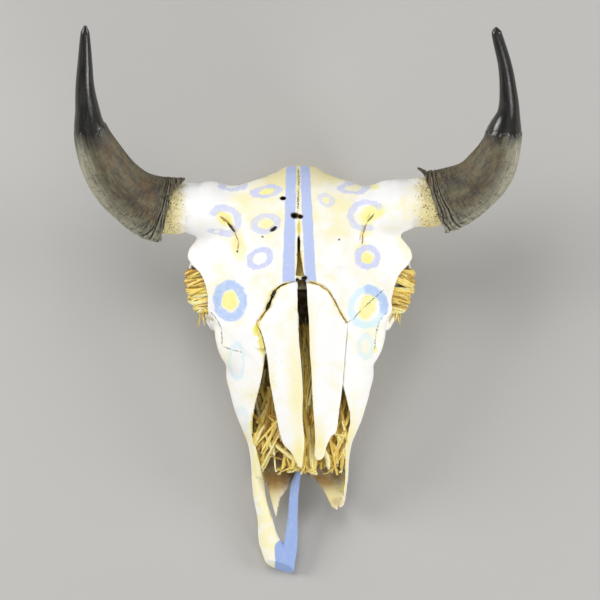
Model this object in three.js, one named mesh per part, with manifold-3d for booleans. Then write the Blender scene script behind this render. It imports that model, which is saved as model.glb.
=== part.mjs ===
// A life-size bison skull without its lower jaw, as it lies on a flat floor: cranium, horn sheaths,
// nasal bones, maxillae with their cheek teeth, one premaxilla, and the dried grass packed into the
// eye sockets and the nose.
// Every shape is drawn in the skull's own face frame, in millimetres: X runs across the skull,
// Y from the nose towards the nape, and Z out of the forehead. The whole is then tilted until the
// tooth rows and the processes beside the neck joint stand on the floor.

import * as THREE from 'three';
import { ParametricGeometry } from 'three/addons/geometries/ParametricGeometry.js';
import { mergeVertices } from 'three/addons/utils/BufferGeometryUtils.js';
import Module from 'manifold-3d';

const wasm = await Module();
wasm.setup();

// Driving dimensions

const REST_TILT = THREE.MathUtils.degToRad(12); // forehead plane to floor
const FLOOR_DEPTH = 185; // forehead to floor, where Y is 0
const ORIGIN_SHIFT = [2.92, 3.08]; // brings the middle of the outline to the origin
const GAP = 0.35; // between bones that touch
const CROWN_HEIGHT = 22; // cheek tooth, below the palate
const PALATE_THICKNESS = 7;
const PALATE_ARCH = 9; // how far the palate rises from the gums to the midline
const GUM_HEIGHT = 4; // gum line above the tooth crowns
const NASAL_THICKNESS = 6.5;
const ORBIT = { x: 135, y: 14, z: -72, rim: 41, mouth: 33.5, depth: 42, outward: [0.92, -0.26, 0.28] };
const HORN_RISE = 0.6; // how far a horn climbs out of the face plane, per mm towards the nape
const HORN_ROOT = { y: 120, z: -44 };

// Curves through stations

// A smooth curve through [position, value] stations that never overshoots them.
function profile(...stations) {
  const at = stations.map(([position]) => position);
  const value = stations.map(([, level]) => level);
  const rise = value.slice(1).map((level, i) => (level - value[i]) / (at[i + 1] - at[i]));
  const slope = value.map((_, i) => {
    if (i === 0) return rise[0];
    if (i === rise.length) return rise[i - 1];
    return rise[i - 1] * rise[i] <= 0 ? 0 : 2 / (1 / rise[i - 1] + 1 / rise[i]);
  });
  return (position) => {
    if (position <= at[0]) return value[0];
    if (position >= at[at.length - 1]) return value[at.length - 1];
    const i = at.findIndex((next) => next > position) - 1;
    const width = at[i + 1] - at[i];
    const s = (position - at[i]) / width;
    const start = value[i] * (1 + 2 * s) + slope[i] * width * s;
    const end = value[i + 1] * (3 - 2 * s) + slope[i + 1] * width * (s - 1);
    return start * (1 - s) ** 2 + end * s ** 2;
  };
}

// The skull's lines: each gives a size at a place along Y

const ridge = profile([-300, -45], [-225, -24], [-160, -13], [-100, -7], [-33, -3], [27, 0], [80, 1],
  [120, 0], [145, -7], [160, -18], [170, -31], [178, -52]);
const bend = profile([-300, 0.012], [-225, 0.0114], [-160, 0.0072], [-100, 0.005], [-33, 0.0031],
  [30, 0.0024], [70, 0.0021], [120, 0.0012], [155, 0.0016], [178, 0.004]);
const shieldHalf = profile([-42, 92], [-24, 116], [-15, 121], [0, 123], [20, 122], [35, 132], [48, 145],
  [58, 150.5], [66, 149], [80, 139], [88, 132], [110, 128], [130, 124], [145, 106], [154, 78], [160, 62],
  [168, 37], [178, 18]);
const shieldEdge = profile([-42, 10], [0, 12], [40, 14], [60, 16], [90, 34], [120, 44], [150, 40],
  [178, 20]);
const faceHalf = profile([-292, 58], [-262, 62], [-240, 64.5], [-213, 66.5], [-193, 70], [-180, 75],
  [-158, 84], [-125, 93.5], [-87, 99.5], [-60, 109], [-40, 113], [-20, 108], [10, 84], [40, 68]);
const nasalHalf = profile([-300, 34], [-225, 42], [-160, 50], [-112, 57], [-33, 62], [40, 62]);
const crestLevel = profile([-292, -100], [-240, -100], [-180, -97], [-120, -97], [-60, -92], [0, -86],
  [40, -80]);
const alveolarHalf = profile([-292, 50], [-240, 57], [-205, 63], [-130, 70], [-60, 74], [-30, 66],
  [40, 54]);
const cavityHalf = profile([-320, 52], [-240, 51], [-200, 56], [-160, 62], [-120, 58], [-60, 48],
  [0, 38], [14, 30]);

const floorLevel = (y) => -FLOOR_DEPTH - Math.tan(REST_TILT) * y;
const palateLevel = (y) => floorLevel(y) + CROWN_HEIGHT + GUM_HEIGHT;
const palateTop = (y) => palateLevel(y) + PALATE_ARCH + PALATE_THICKNESS;
const roof = (x, y) => ridge(y) - bend(y) * x * x;

// Solids

// A closed mesh as a solid, its faces pointing out.
function solid(geometry) {
  const bare = geometry.index ? geometry.toNonIndexed() : geometry.clone();
  bare.deleteAttribute('normal');
  bare.deleteAttribute('uv');
  const merged = mergeVertices(bare, 1e-4);
  const index = merged.index.array;
  const kept = [];
  for (let i = 0; i < index.length; i += 3) {
    const [a, b, c] = [index[i], index[i + 1], index[i + 2]];
    if (a !== b && b !== c && c !== a) kept.push(a, b, c);
  }
  const vertProperties = new Float32Array(merged.attributes.position.array);
  const build = () => new wasm.Manifold(new wasm.Mesh({
    numProp: 3,
    vertProperties,
    triVerts: new Uint32Array(kept),
  }));
  const made = build();
  if (made.volume() > 0) return made;
  for (let i = 0; i < kept.length; i += 3) [kept[i + 1], kept[i + 2]] = [kept[i + 2], kept[i + 1]];
  return build();
}

function asGeometry(body) {
  const { vertProperties, triVerts } = body.getMesh();
  return new THREE.BufferGeometry()
    .setAttribute('position', new THREE.BufferAttribute(vertProperties, 3))
    .setIndex(new THREE.BufferAttribute(triVerts, 1));
}

const join = (...solids) => solids.reduce((whole, piece) => whole.add(piece));
const cut = (body, ...tools) => tools.reduce((rest, tool) => rest.subtract(tool), body);
const mirrored = (body) => solid(asGeometry(body).scale(-1, 1, 1));
const bothSides = (piece) => [piece, mirrored(piece)];

// The largest closed surface of a solid, without loose scraps.
function largest(body) {
  const pieces = body.decompose().sort((a, b) => b.volume() - a.volume());
  return pieces[0];
}

// A skin of rings: point(angle, t) gives one corner of the ring at t, from 0 to 1.
function loft(point, sides, steps, start = 0) {
  const corner = (i) => start + (2 * Math.PI * (i % sides)) / sides;
  const ringCentre = (t) => {
    const centre = new THREE.Vector3();
    for (let i = 0; i < sides; i++) centre.add(point(corner(i), t));
    return centre.divideScalar(sides);
  };
  const surface = (around, along, target) => {
    const row = Math.round(along * (steps + 2)) - 1;
    if (row < 0) target.copy(ringCentre(0));
    else if (row > steps) target.copy(ringCentre(1));
    else target.copy(point(corner(Math.round(around * sides)), row / steps));
  };
  return solid(new ParametricGeometry(surface, sides, steps + 2));
}

// A bar of oval section along a path; width and height are half sizes along it.
function bar(path, width, height, sides = 12, steps = 12, up = new THREE.Vector3(0, 0, 1)) {
  const curve = new THREE.CatmullRomCurve3(path.map(([x, y, z]) => new THREE.Vector3(x, y, z)));
  return loft((angle, t) => {
    const tangent = curve.getTangent(t);
    const across = new THREE.Vector3().crossVectors(tangent, up).normalize();
    const over = new THREE.Vector3().crossVectors(across, tangent);
    return curve.getPoint(t)
      .addScaledVector(across, width(t) * Math.cos(angle))
      .addScaledVector(over, height(t) * Math.sin(angle));
  }, sides, steps);
}

function egg([x, y, z], [halfX, halfY, halfZ], sides = 18, rings = 12) {
  return solid(new THREE.SphereGeometry(1, sides, rings).scale(halfX, halfY, halfZ).translate(x, y, z));
}

// A turned solid about the line from a point along an outward direction.
function turned(outline, origin, outward, sides = 24) {
  const lathe = new THREE.LatheGeometry(outline.map(([r, h]) => new THREE.Vector2(r, h)), sides);
  const turn = new THREE.Quaternion().setFromUnitVectors(
    new THREE.Vector3(0, 1, 0), new THREE.Vector3(...outward).normalize());
  return solid(lathe.applyQuaternion(turn).translate(...origin));
}

// A straight-sided solid over an outline of X and Y, between two levels.
function prism(outline, low, high) {
  const shape = new THREE.Shape(outline.map(([x, y]) => new THREE.Vector2(x, y)));
  const depth = high - low;
  return solid(new THREE.ExtrudeGeometry(shape, { depth, bevelEnabled: false }).translate(0, 0, low));
}

// A straight-sided solid over an outline of Y and Z, between two places across.
function sidePrism(outline, from, to) {
  const shape = new THREE.Shape(outline.map(([y, z]) => new THREE.Vector2(y, z)));
  const extruded = new THREE.ExtrudeGeometry(shape, { depth: to - from, bevelEnabled: false });
  const swap = new THREE.Matrix4().set(0, 0, 1, from, 1, 0, 0, 0, 0, 1, 0, 0, 0, 0, 0, 1);
  return solid(extruded.applyMatrix4(swap));
}

// Everything under the floor that the skull stands on, in the face frame.
function underFloor() {
  const [near, far, deep] = [-500, 400, 400];
  return sidePrism([[near, floorLevel(near)], [far, floorLevel(far)],
    [far, floorLevel(far) - deep], [near, floorLevel(near) - deep]], -400, 400);
}

// The face: one skin from the muzzle to behind the eyes, swollen below each eye

const FACE = { front: -292, back: 40, sides: 22, steps: 16 };
const FLANK = { centre: [80, -42, -66], half: [33, 50, 31] };

// The outline of the face across Y, from the ridge round to the palate and back.
function faceOutline(y) {
  const nasal = nasalHalf(y);
  const wide = faceHalf(y);
  const crest = crestLevel(y);
  const gums = alveolarHalf(y);
  const palate = palateLevel(y);
  const shoulder = [(nasal + wide) / 2 + 3, (roof(nasal, y) + crest) / 2 + 8];
  const half = [
    [0, ridge(y)],
    [nasal * 0.5, roof(nasal * 0.5, y)],
    [nasal, roof(nasal, y)],
    shoulder,
    [wide, crest],
    [gums + 1, palate + 16],
    [gums - 4, palate],
    [gums - 27, palate + 1],
    [0, palate + PALATE_ARCH],
  ];
  const otherHalf = half.slice(1, -1).reverse().map(([x, z]) => [-x, z]);
  const points = [...half, ...otherHalf].map(([x, z]) => new THREE.Vector3(x, 0, z));
  return new THREE.CatmullRomCurve3(points, true, 'centripetal');
}

function faceBlock() {
  const outlines = new Map();
  const at = (t) => {
    const y = THREE.MathUtils.lerp(FACE.front, FACE.back, t);
    if (!outlines.has(y)) outlines.set(y, faceOutline(y));
    return [y, outlines.get(y)];
  };
  const skin = loft((angle, t) => {
    const [y, outline] = at(t);
    return outline.getPoint(angle / (2 * Math.PI)).setY(y);
  }, FACE.sides, FACE.steps);
  return join(skin, ...bothSides(egg(FLANK.centre, FLANK.half, 14, 9)));
}

// The hollow of the nose, open at the front; a smaller one is the room for the grass.
function noseHollow(clearance = 0) {
  return loft((angle, t) => {
    const y = THREE.MathUtils.lerp(-330, 14, t);
    const top = ridge(y) - NASAL_THICKNESS - 3 - clearance;
    const bottom = palateTop(y) + clearance;
    const half = cavityHalf(y) - clearance;
    const square = (wave) => Math.sign(wave) * Math.abs(wave) ** 0.7;
    const x = half * square(Math.cos(angle));
    const z = (top + bottom) / 2 + ((top - bottom) / 2) * square(Math.sin(angle));
    return new THREE.Vector3(x, y, Math.sin(angle) > 0 ? z - bend(y) * x * x * 0.8 : z);
  }, 18, 12);
}

// Nasal bones: two long arched plates with the gap that has opened between them

const NASALS = {
  right: {
    front: -224,
    back: 24,
    medial: profile([-224, 3], [-190, 6], [-150, 3], [-120, 3.5], [-45, -2], [24, -4]),
    lateral: profile([-224, -2], [-204, -12], [-190, -24], [-153, -32.3], [-119.5, -38.4], [-76, -44.7],
      [-41, -53], [-31.6, -58], [-16, -46.5], [-4, -38.5], [11.5, -33], [20, -23], [24, -9]),
  },
  left: {
    front: -215,
    back: 23,
    medial: profile([-215, 22], [-209, 18.7], [-187, 19.6], [-140, 17.6], [-104, 15.7], [-56, 12.9],
      [23, 9]),
    lateral: profile([-215, 26], [-211, 31.5], [-196, 35.5], [-181, 43], [-178, 48], [-150, 52.3],
      [-112, 57], [-83, 59.3], [-53, 62], [-32, 63.5], [-22, 56.5], [-3, 48], [6, 42.3], [16, 36],
      [21, 24.4], [23, 14]),
  },
};

const NASAL_STEPS = 18;

// The gap between them, through the roof of the nose.
const NASAL_GAP = [[-2, 24], [-1, -45], [0, -140], [18, -140], [13, -45], [9, 24]];

function nasalBone({ front, back, medial, lateral }) {
  return loft((angle, t) => {
    const y = THREE.MathUtils.lerp(front, back, t);
    const [inner, outer] = [medial(y), lateral(y)];
    const across = Math.cos(angle) * (1 - 0.12 * Math.cos(2 * angle)) / 0.88;
    const x = (inner + outer) / 2 + ((outer - inner) / 2) * across;
    const top = roof(x, y) + 1.6 * (1 - across * across);
    const bottom = roof(x, y) - NASAL_THICKNESS;
    const z = (top + bottom) / 2 + ((top - bottom) / 2) * Math.sign(Math.sin(angle))
      * Math.abs(Math.sin(angle)) ** 0.45;
    return new THREE.Vector3(x, y, z);
  }, 12, NASAL_STEPS);
}

// The room that a nasal bone lies in, open above.
function nasalRoom({ front, back, medial, lateral }) {
  const above = 14;
  return loft((angle, t) => {
    const y = THREE.MathUtils.lerp(front, back, t);
    const end = t === 0 ? -GAP : (t === 1 ? GAP : 0);
    const side = Math.sign(lateral(y) - medial(y));
    const x = Math.cos(angle) > 0 ? lateral(y) + side * GAP : medial(y) - side * GAP;
    const z = Math.sin(angle) > 0 ? roof(x, y) + above : roof(x, y) - NASAL_THICKNESS - GAP;
    return new THREE.Vector3(x, y + end, z);
  }, 4, NASAL_STEPS, Math.PI / 4);
}

// Cranium

function frontalShield() {
  return loft((angle, t) => {
    const y = THREE.MathUtils.lerp(-42, 178, t);
    const half = shieldHalf(y);
    const x = half * Math.sign(Math.cos(angle)) * Math.abs(Math.cos(angle)) ** 0.8;
    const rim = roof(half, y) - shieldEdge(y) / 2;
    const lift = Math.abs(Math.sin(angle)) ** 0.55;
    const z = Math.sin(angle) >= 0
      ? rim + (roof(x, y) - rim) * lift
      : rim - (shieldEdge(y) / 2 + 14) * lift;
    return new THREE.Vector3(x, y, z);
  }, 22, 22);
}

function orbitRing() {
  const { x, y, z, rim, outward } = ORBIT;
  return turned([[0, -66], [47, -66], [45, -36], [rim + 1, -8], [rim - 1, -1], [rim - 4, 1], [0, 0]],
    [x, y, z], outward, 18);
}

function orbitHollow(clearance = 0) {
  const { x, y, z, mouth, depth, outward } = ORBIT;
  const r = mouth - clearance;
  const d = depth - clearance;
  return turned([[0, -d], [r * 0.55, -d * 0.88], [r * 0.88, -d * 0.5], [r, -4], [r * 1.02, 30], [0, 30]],
    [x, y, z], outward, 18);
}

// The bony core that a sheath is pressed on, from inside the frontal bone outwards.
const CORES = {
  right: {
    path: [[-86, 122, -44], [-120, 122, -44], [-136, 122, -44], [-151, 125, -44], [-165, 123, -44],
      [-181, 120.5, -44], [-197, 122, -43], [-212, 127, -40]],
    radius: [28, 37, 35.5, 32.8, 33.6, 32.5, 28.5, 20],
  },
  left: {
    path: [[86, 122, -44], [120, 124, -44], [136, 127, -43], [151, 129.7, -42], [167, 130.5, -41],
      [182, 131, -40], [200, 134, -38], [216, 140, -34]],
    radius: [28, 37, 35, 31.8, 33.2, 31.5, 28.5, 20],
  },
};

function hornCore({ path, radius }, clearance = 0) {
  const thickness = profile(...radius.map((r, i) => [i / (radius.length - 1), r]));
  const size = (t) => thickness(t) + clearance;
  return bar(path, size, size, 14, 9);
}

// The cheek arch, of which the middle length is a bone of its own.
const ARCH_MIDDLE = { from: 47, to: 84, low: -150, high: -102 };

function zygomaticArch() {
  const path = [[112, -34, -100], [132, -4, -116], [141, 26, -119], [139, 56, -119], [128, 80, -117],
    [106, 98, -110]];
  const width = profile([0, 10], [0.4, 8], [0.8, 8], [1, 12]);
  const height = profile([0, 18], [0.4, 12], [0.8, 10], [1, 14]);
  return bar(path, width, height, 8, 8);
}

// The space round the middle of the left arch.
function archRoom(grow = 0) {
  const { from, to, low, high } = ARCH_MIDDLE;
  return prism([[100, from - grow], [170, from - grow], [170, to + grow], [100, to + grow]], low, high);
}

function skullBase() {
  const middle = bar([[0, -30, -140], [0, 50, -158], [0, 120, -170], [0, 164, -168]],
    profile([0, 12], [0.5, 20], [1, 30]), profile([0, 10], [0.5, 12], [1, 15]), 10, 5);
  const wing = bar([[30, -58, -142], [29, -20, -150], [27, 20, -152], [24, 60, -152]],
    () => 3.5, profile([0, 10], [0.4, 20], [0.8, 17], [1, 8]), 8, 5);
  const bulla = egg([46, 104, -164], [14, 22, 22], 10, 7);
  const glenoid = egg([94, 90, -112], [40, 24, 15], 12, 7);
  const process = bar([[76, 132, -136], [72, 142, -170], [64, 150, -222]],
    profile([0, 20], [0.5, 13], [1, 8]), profile([0, 14], [0.5, 10], [1, 7]), 10, 5,
    new THREE.Vector3(0, 1, 0));
  const condyle = egg([31, 154, -166], [22, 21, 25], 10, 7);
  return join(middle, ...[wing, bulla, glenoid, process, condyle].flatMap(bothSides));
}

function occiput() {
  const fan = egg([0, 118, -98], [121, 50, 68], 20, 11);
  const braincase = egg([0, 92, -88], [62, 76, 70], 16, 10);
  const nape = egg([0, 166, -66], [26, 11, 16], 12, 8);
  return join(fan, braincase, nape);
}

function craniumBlock(face) {
  const malar = egg([99, -16, -98], [23, 34, 18], 14, 8);
  const tubes = [orbitRing(), zygomaticArch(), malar].flatMap(bothSides);
  const fossa = egg([116, 76, -92], [46, 30, 22], 12, 8);
  const solidBone = cut(join(frontalShield(), face, occiput(), skullBase(), ...tubes), ...bothSides(fossa));
  const cores = [hornCore(CORES.right), hornCore(CORES.left)];
  const whole = join(solidBone, ...cores, ...bothSides(zygomaticArch()));
  const foramen = bar([[0, 96, -138], [0, 150, -142], [0, 200, -146]], () => 18, () => 17, 14, 4);
  return cut(whole, foramen, ...bothSides(orbitHollow()));
}

// Maxillae

const SUTURE = { middle: -36, side: -66, reach: 115 }; // where the cranium ends and the maxillae begin

// The part of the face in front of the suture, less a gap on the maxilla's side.
function inFrontOfSuture(gap) {
  const { middle, side, reach } = SUTURE;
  const far = 200;
  const slope = (side - middle) / reach;
  return prism([[0, middle - gap], [far, middle + slope * far - gap], [far, -420], [-far, -420],
    [-far, middle + slope * far - gap]], -300, 100);
}

// The wide opening of the nose, from above, down to the palate.
const OPENING = {
  right: [[-46, -73], [-50, -98], [-57, -130], [-63.6, -159], [-64.4, -181], [-58.5, -199], [-53, -222],
    [-48.5, -240], [-43, -320]],
  left: [[54, -320], [60.7, -233], [59.7, -198], [67, -163], [66, -150], [57, -112]],
};

// What is cut off the top of the muzzle's side wall as it runs down to the front.
const WALL_TOP = [[-66, -8], [-110, -18], [-160, -42], [-200, -57], [-240, -68], [-330, -82]];

// The front ends: the right one takes the premaxilla, the left one is broken off.
const FRONT_END = {
  right: [[-1, -222], [-11.7, -244], [-17.6, -255.5], [-26.3, -267], [-29, -280], [-32, -293], [-37, -276],
    [-45, -246], [-52, -240], [-74, -236], [-160, -180], [-160, 60], [-1, 60]],
  left: [[1, -226], [12, -238], [21.5, -242], [31.7, -256], [43, -279], [50, -283], [58, -277], [65, -269],
    [74, -240], [160, -180], [160, 60], [1, 60]],
};

// Cheek teeth from front to back: length along the row and width across it.
const TEETH = [[17, 17], [19, 20], [19, 22], [26, 26], [31, 28], [31, 28]];
const TOOTH_ROW = { front: -206, inset: 14, overlap: 1.2 };

// The outline of a crown of two rounded lobes.
function toothCrown(length, width) {
  const corners = 16;
  const square = (wave) => Math.sign(wave) * Math.abs(wave) ** 0.6;
  return Array.from({ length: corners }, (_, i) => {
    const angle = (2 * Math.PI * i) / corners;
    const waist = 1 - 0.14 * Math.max(0, Math.cos(2 * angle)) ** 8;
    return [(width / 2) * square(Math.cos(angle)) * waist, (length / 2 - 0.4) * square(Math.sin(angle))];
  });
}

function toothRow(side) {
  let y = TOOTH_ROW.front;
  const crowns = TEETH.map(([length, width]) => {
    const middle = y + length / 2;
    y += length;
    const x = side * (alveolarHalf(middle) - TOOTH_ROW.inset);
    const outline = toothCrown(length + TOOTH_ROW.overlap, width).map(([a, b]) => [x + a, middle + b]);
    return prism(outline, floorLevel(middle) - 6, palateLevel(middle) + 8);
  });
  return join(...crowns);
}

function maxilla(side, face, openings) {
  const name = side < 0 ? 'right' : 'left';
  const start = side < 0 ? -66 : -106;
  const lid = WALL_TOP.filter(([y]) => y < start);
  const lidSpan = side < 0 ? [-200, -8] : [8, 200];
  const lidSolid = sidePrism([[start, -8], ...lid, [-330, 60], [start, 60]], ...lidSpan);
  const tuber = egg([side * 84, -98, -104], [15, 26, 12], 12, 8);
  const wall = cut(join(face, tuber), noseHollow(), openings, lidSolid);
  const half = wall.intersect(inFrontOfSuture(GAP)).intersect(prism(FRONT_END[name], -300, 100));
  return join(half, toothRow(side));
}

// Premaxilla: the bar that carries on from the right maxilla, its flat body and the painted inner bar

const PREMAXILLA = {
  outer: {
    path: [[-58.7, -225, -98], [-53.5, -268, -96], [-47, -297, -95], [-42.5, -322, -94.5],
      [-33, -345, -94.5], [-24, -372, -94.5]],
    width: profile([0, 8], [0.28, 9], [0.48, 11.5], [0.66, 14.5], [0.82, 16], [1, 12]),
    height: profile([0, 20], [0.2, 16], [0.45, 11], [0.65, 9], [1, 8]),
  },
  inner: {
    path: [[-2, -229, -88], [-7.2, -254, -90], [-9.8, -290, -92], [-12, -325, -94.5], [-17, -352, -94.5],
      [-19, -372, -94.5]],
    width: profile([0, 4.4], [0.2, 5.9], [0.45, 6.9], [0.7, 10], [0.88, 10.5], [1, 10]),
    height: profile([0, 4], [0.3, 6], [0.6, 7], [1, 8]),
  },
};

// The oval end is cut off slanting, so that it looks forwards and up.
function slantedEnd() {
  const slab = new THREE.BoxGeometry(140, 60, 120).translate(0, -30, 0);
  return solid(slab.rotateX(-0.6).rotateZ(-0.3).translate(-20, -362, -94.5));
}

// The painted inner bar, or with some clearance the room that it takes.
function innerBar(clearance = 0) {
  const { path, width, height } = PREMAXILLA.inner;
  return bar(path, (t) => width(t) + clearance, (t) => height(t) + clearance, 10, 12);
}

function premaxilla() {
  const { path, width, height } = PREMAXILLA.outer;
  const both = join(bar(path, width, height, 12, 12), innerBar());
  const maxillaRoom = prism(FRONT_END.right.map(([x, y]) => [x - GAP, y - GAP]), -300, 100);
  return largest(cut(both, maxillaRoom, slantedEnd()));
}

// Horn sheaths: middle line and half width across at each station, from the base to the tip. The
// base reaches further towards the skull on the side of the crest: edge gives how far, in millimetres,
// from the outer side (-1) to the crest side (1).

const EDGE_SCALE = 24; // millimetres between the first stations
const HORNS = {
  right: {
    skullward: [-150, 121],
    edge: profile([-1, -5], [0, -2], [0.5, 0], [0.75, 4], [0.92, 13], [1, 25]),
    middle: [[-179, 120.5], [-197.5, 124.5], [-225, 139.5], [-246.7, 160], [-264, 188], [-279.5, 228.5],
      [-282.3, 251], [-285, 282.5], [-284.3, 316], [-283.5, 353]],
    half: [40.5, 40, 36, 34.3, 31, 22.4, 17.5, 13.4, 10.2, 6.2],
    tip: [-283.2, 361],
  },
  left: {
    skullward: [152, 128],
    edge: profile([-1, -3], [-0.5, -6], [0, -5], [0.5, -1], [0.8, 4], [0.95, 10], [1, 21]),
    middle: [[181, 130.5], [201.6, 136.1], [234.3, 153.9], [253.7, 175.3], [267, 202.8], [272.5, 226.4],
      [277.2, 250.8], [275.6, 281.5], [271, 311], [259.2, 353]],
    half: [39.5, 38.7, 34.3, 33, 27.5, 23.6, 15.6, 11.9, 9.7, 7],
    tip: [258.6, 359],
  },
};

// A point of a horn's plane, which climbs out of the face towards the nape.
const onHorn = ([x, y]) => new THREE.Vector3(x, y, HORN_ROOT.z + HORN_RISE * (y - HORN_ROOT.y));

function hornSheath({ skullward, middle, half, tip, edge }, core) {
  const line = new THREE.CatmullRomCurve3([skullward, ...middle, tip].map(onHorn));
  const last = middle.length;
  const width = profile([-1, half[0] * 0.98], ...half.map((size, station) => [station, size]), [last, 2]);
  const upright = new THREE.Vector3(0, -HORN_RISE, 1).normalize();
  const crestSide = -Math.sign(middle[0][0]);
  const body = loft((angle, t) => {
    const start = -edge(Math.cos(angle)) / EDGE_SCALE;
    const station = THREE.MathUtils.lerp(start, last, t);
    const place = THREE.MathUtils.clamp((station + 1) / (last + 1), 0, 1);
    const along = line.getTangent(place).projectOnPlane(upright).normalize();
    const across = new THREE.Vector3().crossVectors(along, upright).multiplyScalar(crestSide);
    const inFace = Math.hypot(across.x, across.y);
    const ripple = 1 + 0.02 * Math.cos(2 * Math.PI * station * 2.2) * Math.max(0, 1 - station / 2.5);
    const size = width(station) * ripple;
    return line.getPoint(place)
      .addScaledVector(across, (size * Math.cos(angle)) / inFace)
      .addScaledVector(upright, size * 0.94 * Math.sin(angle));
  }, 16, 24);
  return largest(cut(body, hornCore(core, GAP)));
}

// Dried grass

const GRASS_SEED = 7;

// Numbers from 0 to 1 that are the same each time.
function numbers(seed) {
  let state = seed;
  return () => {
    state = (state * 16807) % 2147483647;
    return state / 2147483647;
  };
}

// One flat blade that tapers to its tip.
function blade(path, width) {
  return bar(path, profile([0, width], [0.6, width * 0.8], [1, width * 0.25]),
    profile([0, width * 0.45], [1, width * 0.2]), 5, 5);
}

// A wad of bent grass that swells out of an eye socket.
function orbitGrass(side) {
  const { x, y, z, outward } = ORBIT;
  const out = new THREE.Vector3(...outward).normalize();
  const acrossSocket = new THREE.Vector3(0, 1, 0).cross(out).normalize();
  const alongSocket = new THREE.Vector3().crossVectors(out, acrossSocket);
  const frame = new THREE.Matrix4().makeBasis(acrossSocket, alongSocket, out).setPosition(x, y, z);
  const place = (local) => new THREE.Vector3(...local).applyMatrix4(frame).toArray();
  const ball = new THREE.SphereGeometry(1, 14, 9).scale(30, 31, 19).translate(0, 0, -6);
  const core = solid(ball.applyMatrix4(frame));
  const random = numbers(GRASS_SEED + side + 1);
  const strands = Array.from({ length: 5 }, (_, i) => {
    const along = THREE.MathUtils.lerp(-24, 24, i / 4);
    const reach = Math.sqrt(Math.max(0, 1 - (along / 33) ** 2));
    const bow = 13 + 4 * random();
    const lean = 7 * (random() - 0.5);
    return blade([[-30 * reach, along + lean, -8], [-18 * reach, along + lean * 0.6, bow * 0.6 * reach],
      [0, along, bow * reach], [18 * reach, along - lean * 0.6, bow * 0.6 * reach],
      [29 * reach, along - lean, -8]].map(place), 5);
  });
  const wad = join(core, ...strands).intersect(orbitHollow(GAP));
  return side < 0 ? mirrored(wad) : wad;
}

// The grass in the nose: a core along the palate, and long blades over it.
function noseGrass() {
  const room = noseHollow(GAP + 0.2);
  const core = loft((angle, t) => {
    const y = THREE.MathUtils.lerp(-236, -40, t);
    const swell = Math.sin(Math.PI * (0.12 + 0.8 * t)) ** 0.6;
    const x = (cavityHalf(y) - 9) * swell * Math.cos(angle);
    return new THREE.Vector3(x, y, palateTop(y) + 15 + 19 * swell * Math.sin(angle));
  }, 14, 8);
  const random = numbers(GRASS_SEED);
  const blades = Array.from({ length: 9 }, () => {
    const x = THREE.MathUtils.lerp(-42, 44, random());
    const y = THREE.MathUtils.lerp(-216, -80, random());
    const z = palateLevel(y) + 40 + 10 * random();
    const reach = 20 + 18 * random();
    const drift = 22 * (random() - 0.5);
    return blade([[x + drift, y + reach, z - 9], [x + drift * 0.4, y + reach * 0.4, z + 5],
      [x - drift * 0.4, y - reach * 0.4, z + 3], [x - drift, y - reach, z - 11]], 3.4);
  });
  return largest(cut(join(core, ...blades).intersect(room), innerBar(GAP)));
}

// Materials

const finish = (color, roughness) => new THREE.MeshStandardMaterial({ color, roughness, metalness: 0 });
const BONE = finish('#f3ead2', 0.6);
const HORN = finish('#3e3a34', 0.42);
const GRASS = finish('#c9a24b', 0.8);
const PAINT = finish('#9fb2e6', 0.7);

// A solid as a named piece of the skull.
function piece(name, body, material) {
  const mesh = new THREE.Mesh(asGeometry(body), material);
  mesh.name = name;
  return mesh;
}

// The skull, put together

const face = faceBlock();
const pockets = join(nasalRoom(NASALS.right), nasalRoom(NASALS.left), prism(NASAL_GAP, -46, 30));
const underPalate = sidePrism([[-400, palateTop(-400)], [40, palateTop(40)], [40, -300], [-400, -300]],
  -200, 200);
const openingOutline = [...OPENING.right, ...OPENING.left, [10, -66], [-20, -64]];
const openings = cut(prism(openingOutline, -140, 60), underPalate);
const floor = underFloor();

const craniumWhole = cut(craniumBlock(face), inFrontOfSuture(-GAP), noseHollow(), pockets, floor);
const arch = largest(craniumWhole.intersect(archRoom()));
const cranium = largest(cut(craniumWhole, ...bothSides(archRoom(GAP))));

const skull = new THREE.Group();
skull.add(
  piece('cranium', cranium, BONE),
  piece('zygomatic_arch_left', arch, BONE),
  piece('zygomatic_arch_right', mirrored(arch), BONE),
  piece('maxilla_right', largest(cut(maxilla(-1, face, openings), pockets, floor)), BONE),
  piece('maxilla_left', largest(cut(maxilla(1, face, openings), pockets, floor)), BONE),
  piece('nasal_right', nasalBone(NASALS.right), BONE),
  piece('nasal_left', nasalBone(NASALS.left), BONE),
  piece('premaxilla_right', premaxilla(), PAINT),
  piece('horn_sheath_right', hornSheath(HORNS.right, CORES.right), HORN),
  piece('horn_sheath_left', hornSheath(HORNS.left, CORES.left), HORN),
  piece('grass_orbit_right', orbitGrass(-1), GRASS),
  piece('grass_orbit_left', orbitGrass(1), GRASS),
  piece('grass_nose', noseGrass(), GRASS),
);

skull.rotation.x = REST_TILT;
skull.position.set(...ORIGIN_SHIFT, FLOOR_DEPTH * Math.cos(REST_TILT));

const model = new THREE.Group();
model.add(skull);

export default model;
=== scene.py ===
"""A life-size bison skull with painted forehead and dried grass in its sockets, lying on the floor.

The bones are carved as distances on a lattice and then skinned. Sizes are in millimetres in the skull's
own face frame (X across, Y from the nose to the nape, Z out of the forehead) and turned to the floor's
frame, in metres, when a piece is made. Left and right are the animal's own.
"""
import logging
import math
from dataclasses import dataclass, field
from enum import Enum
from typing import Any, Callable, Mapping, Sequence

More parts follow.
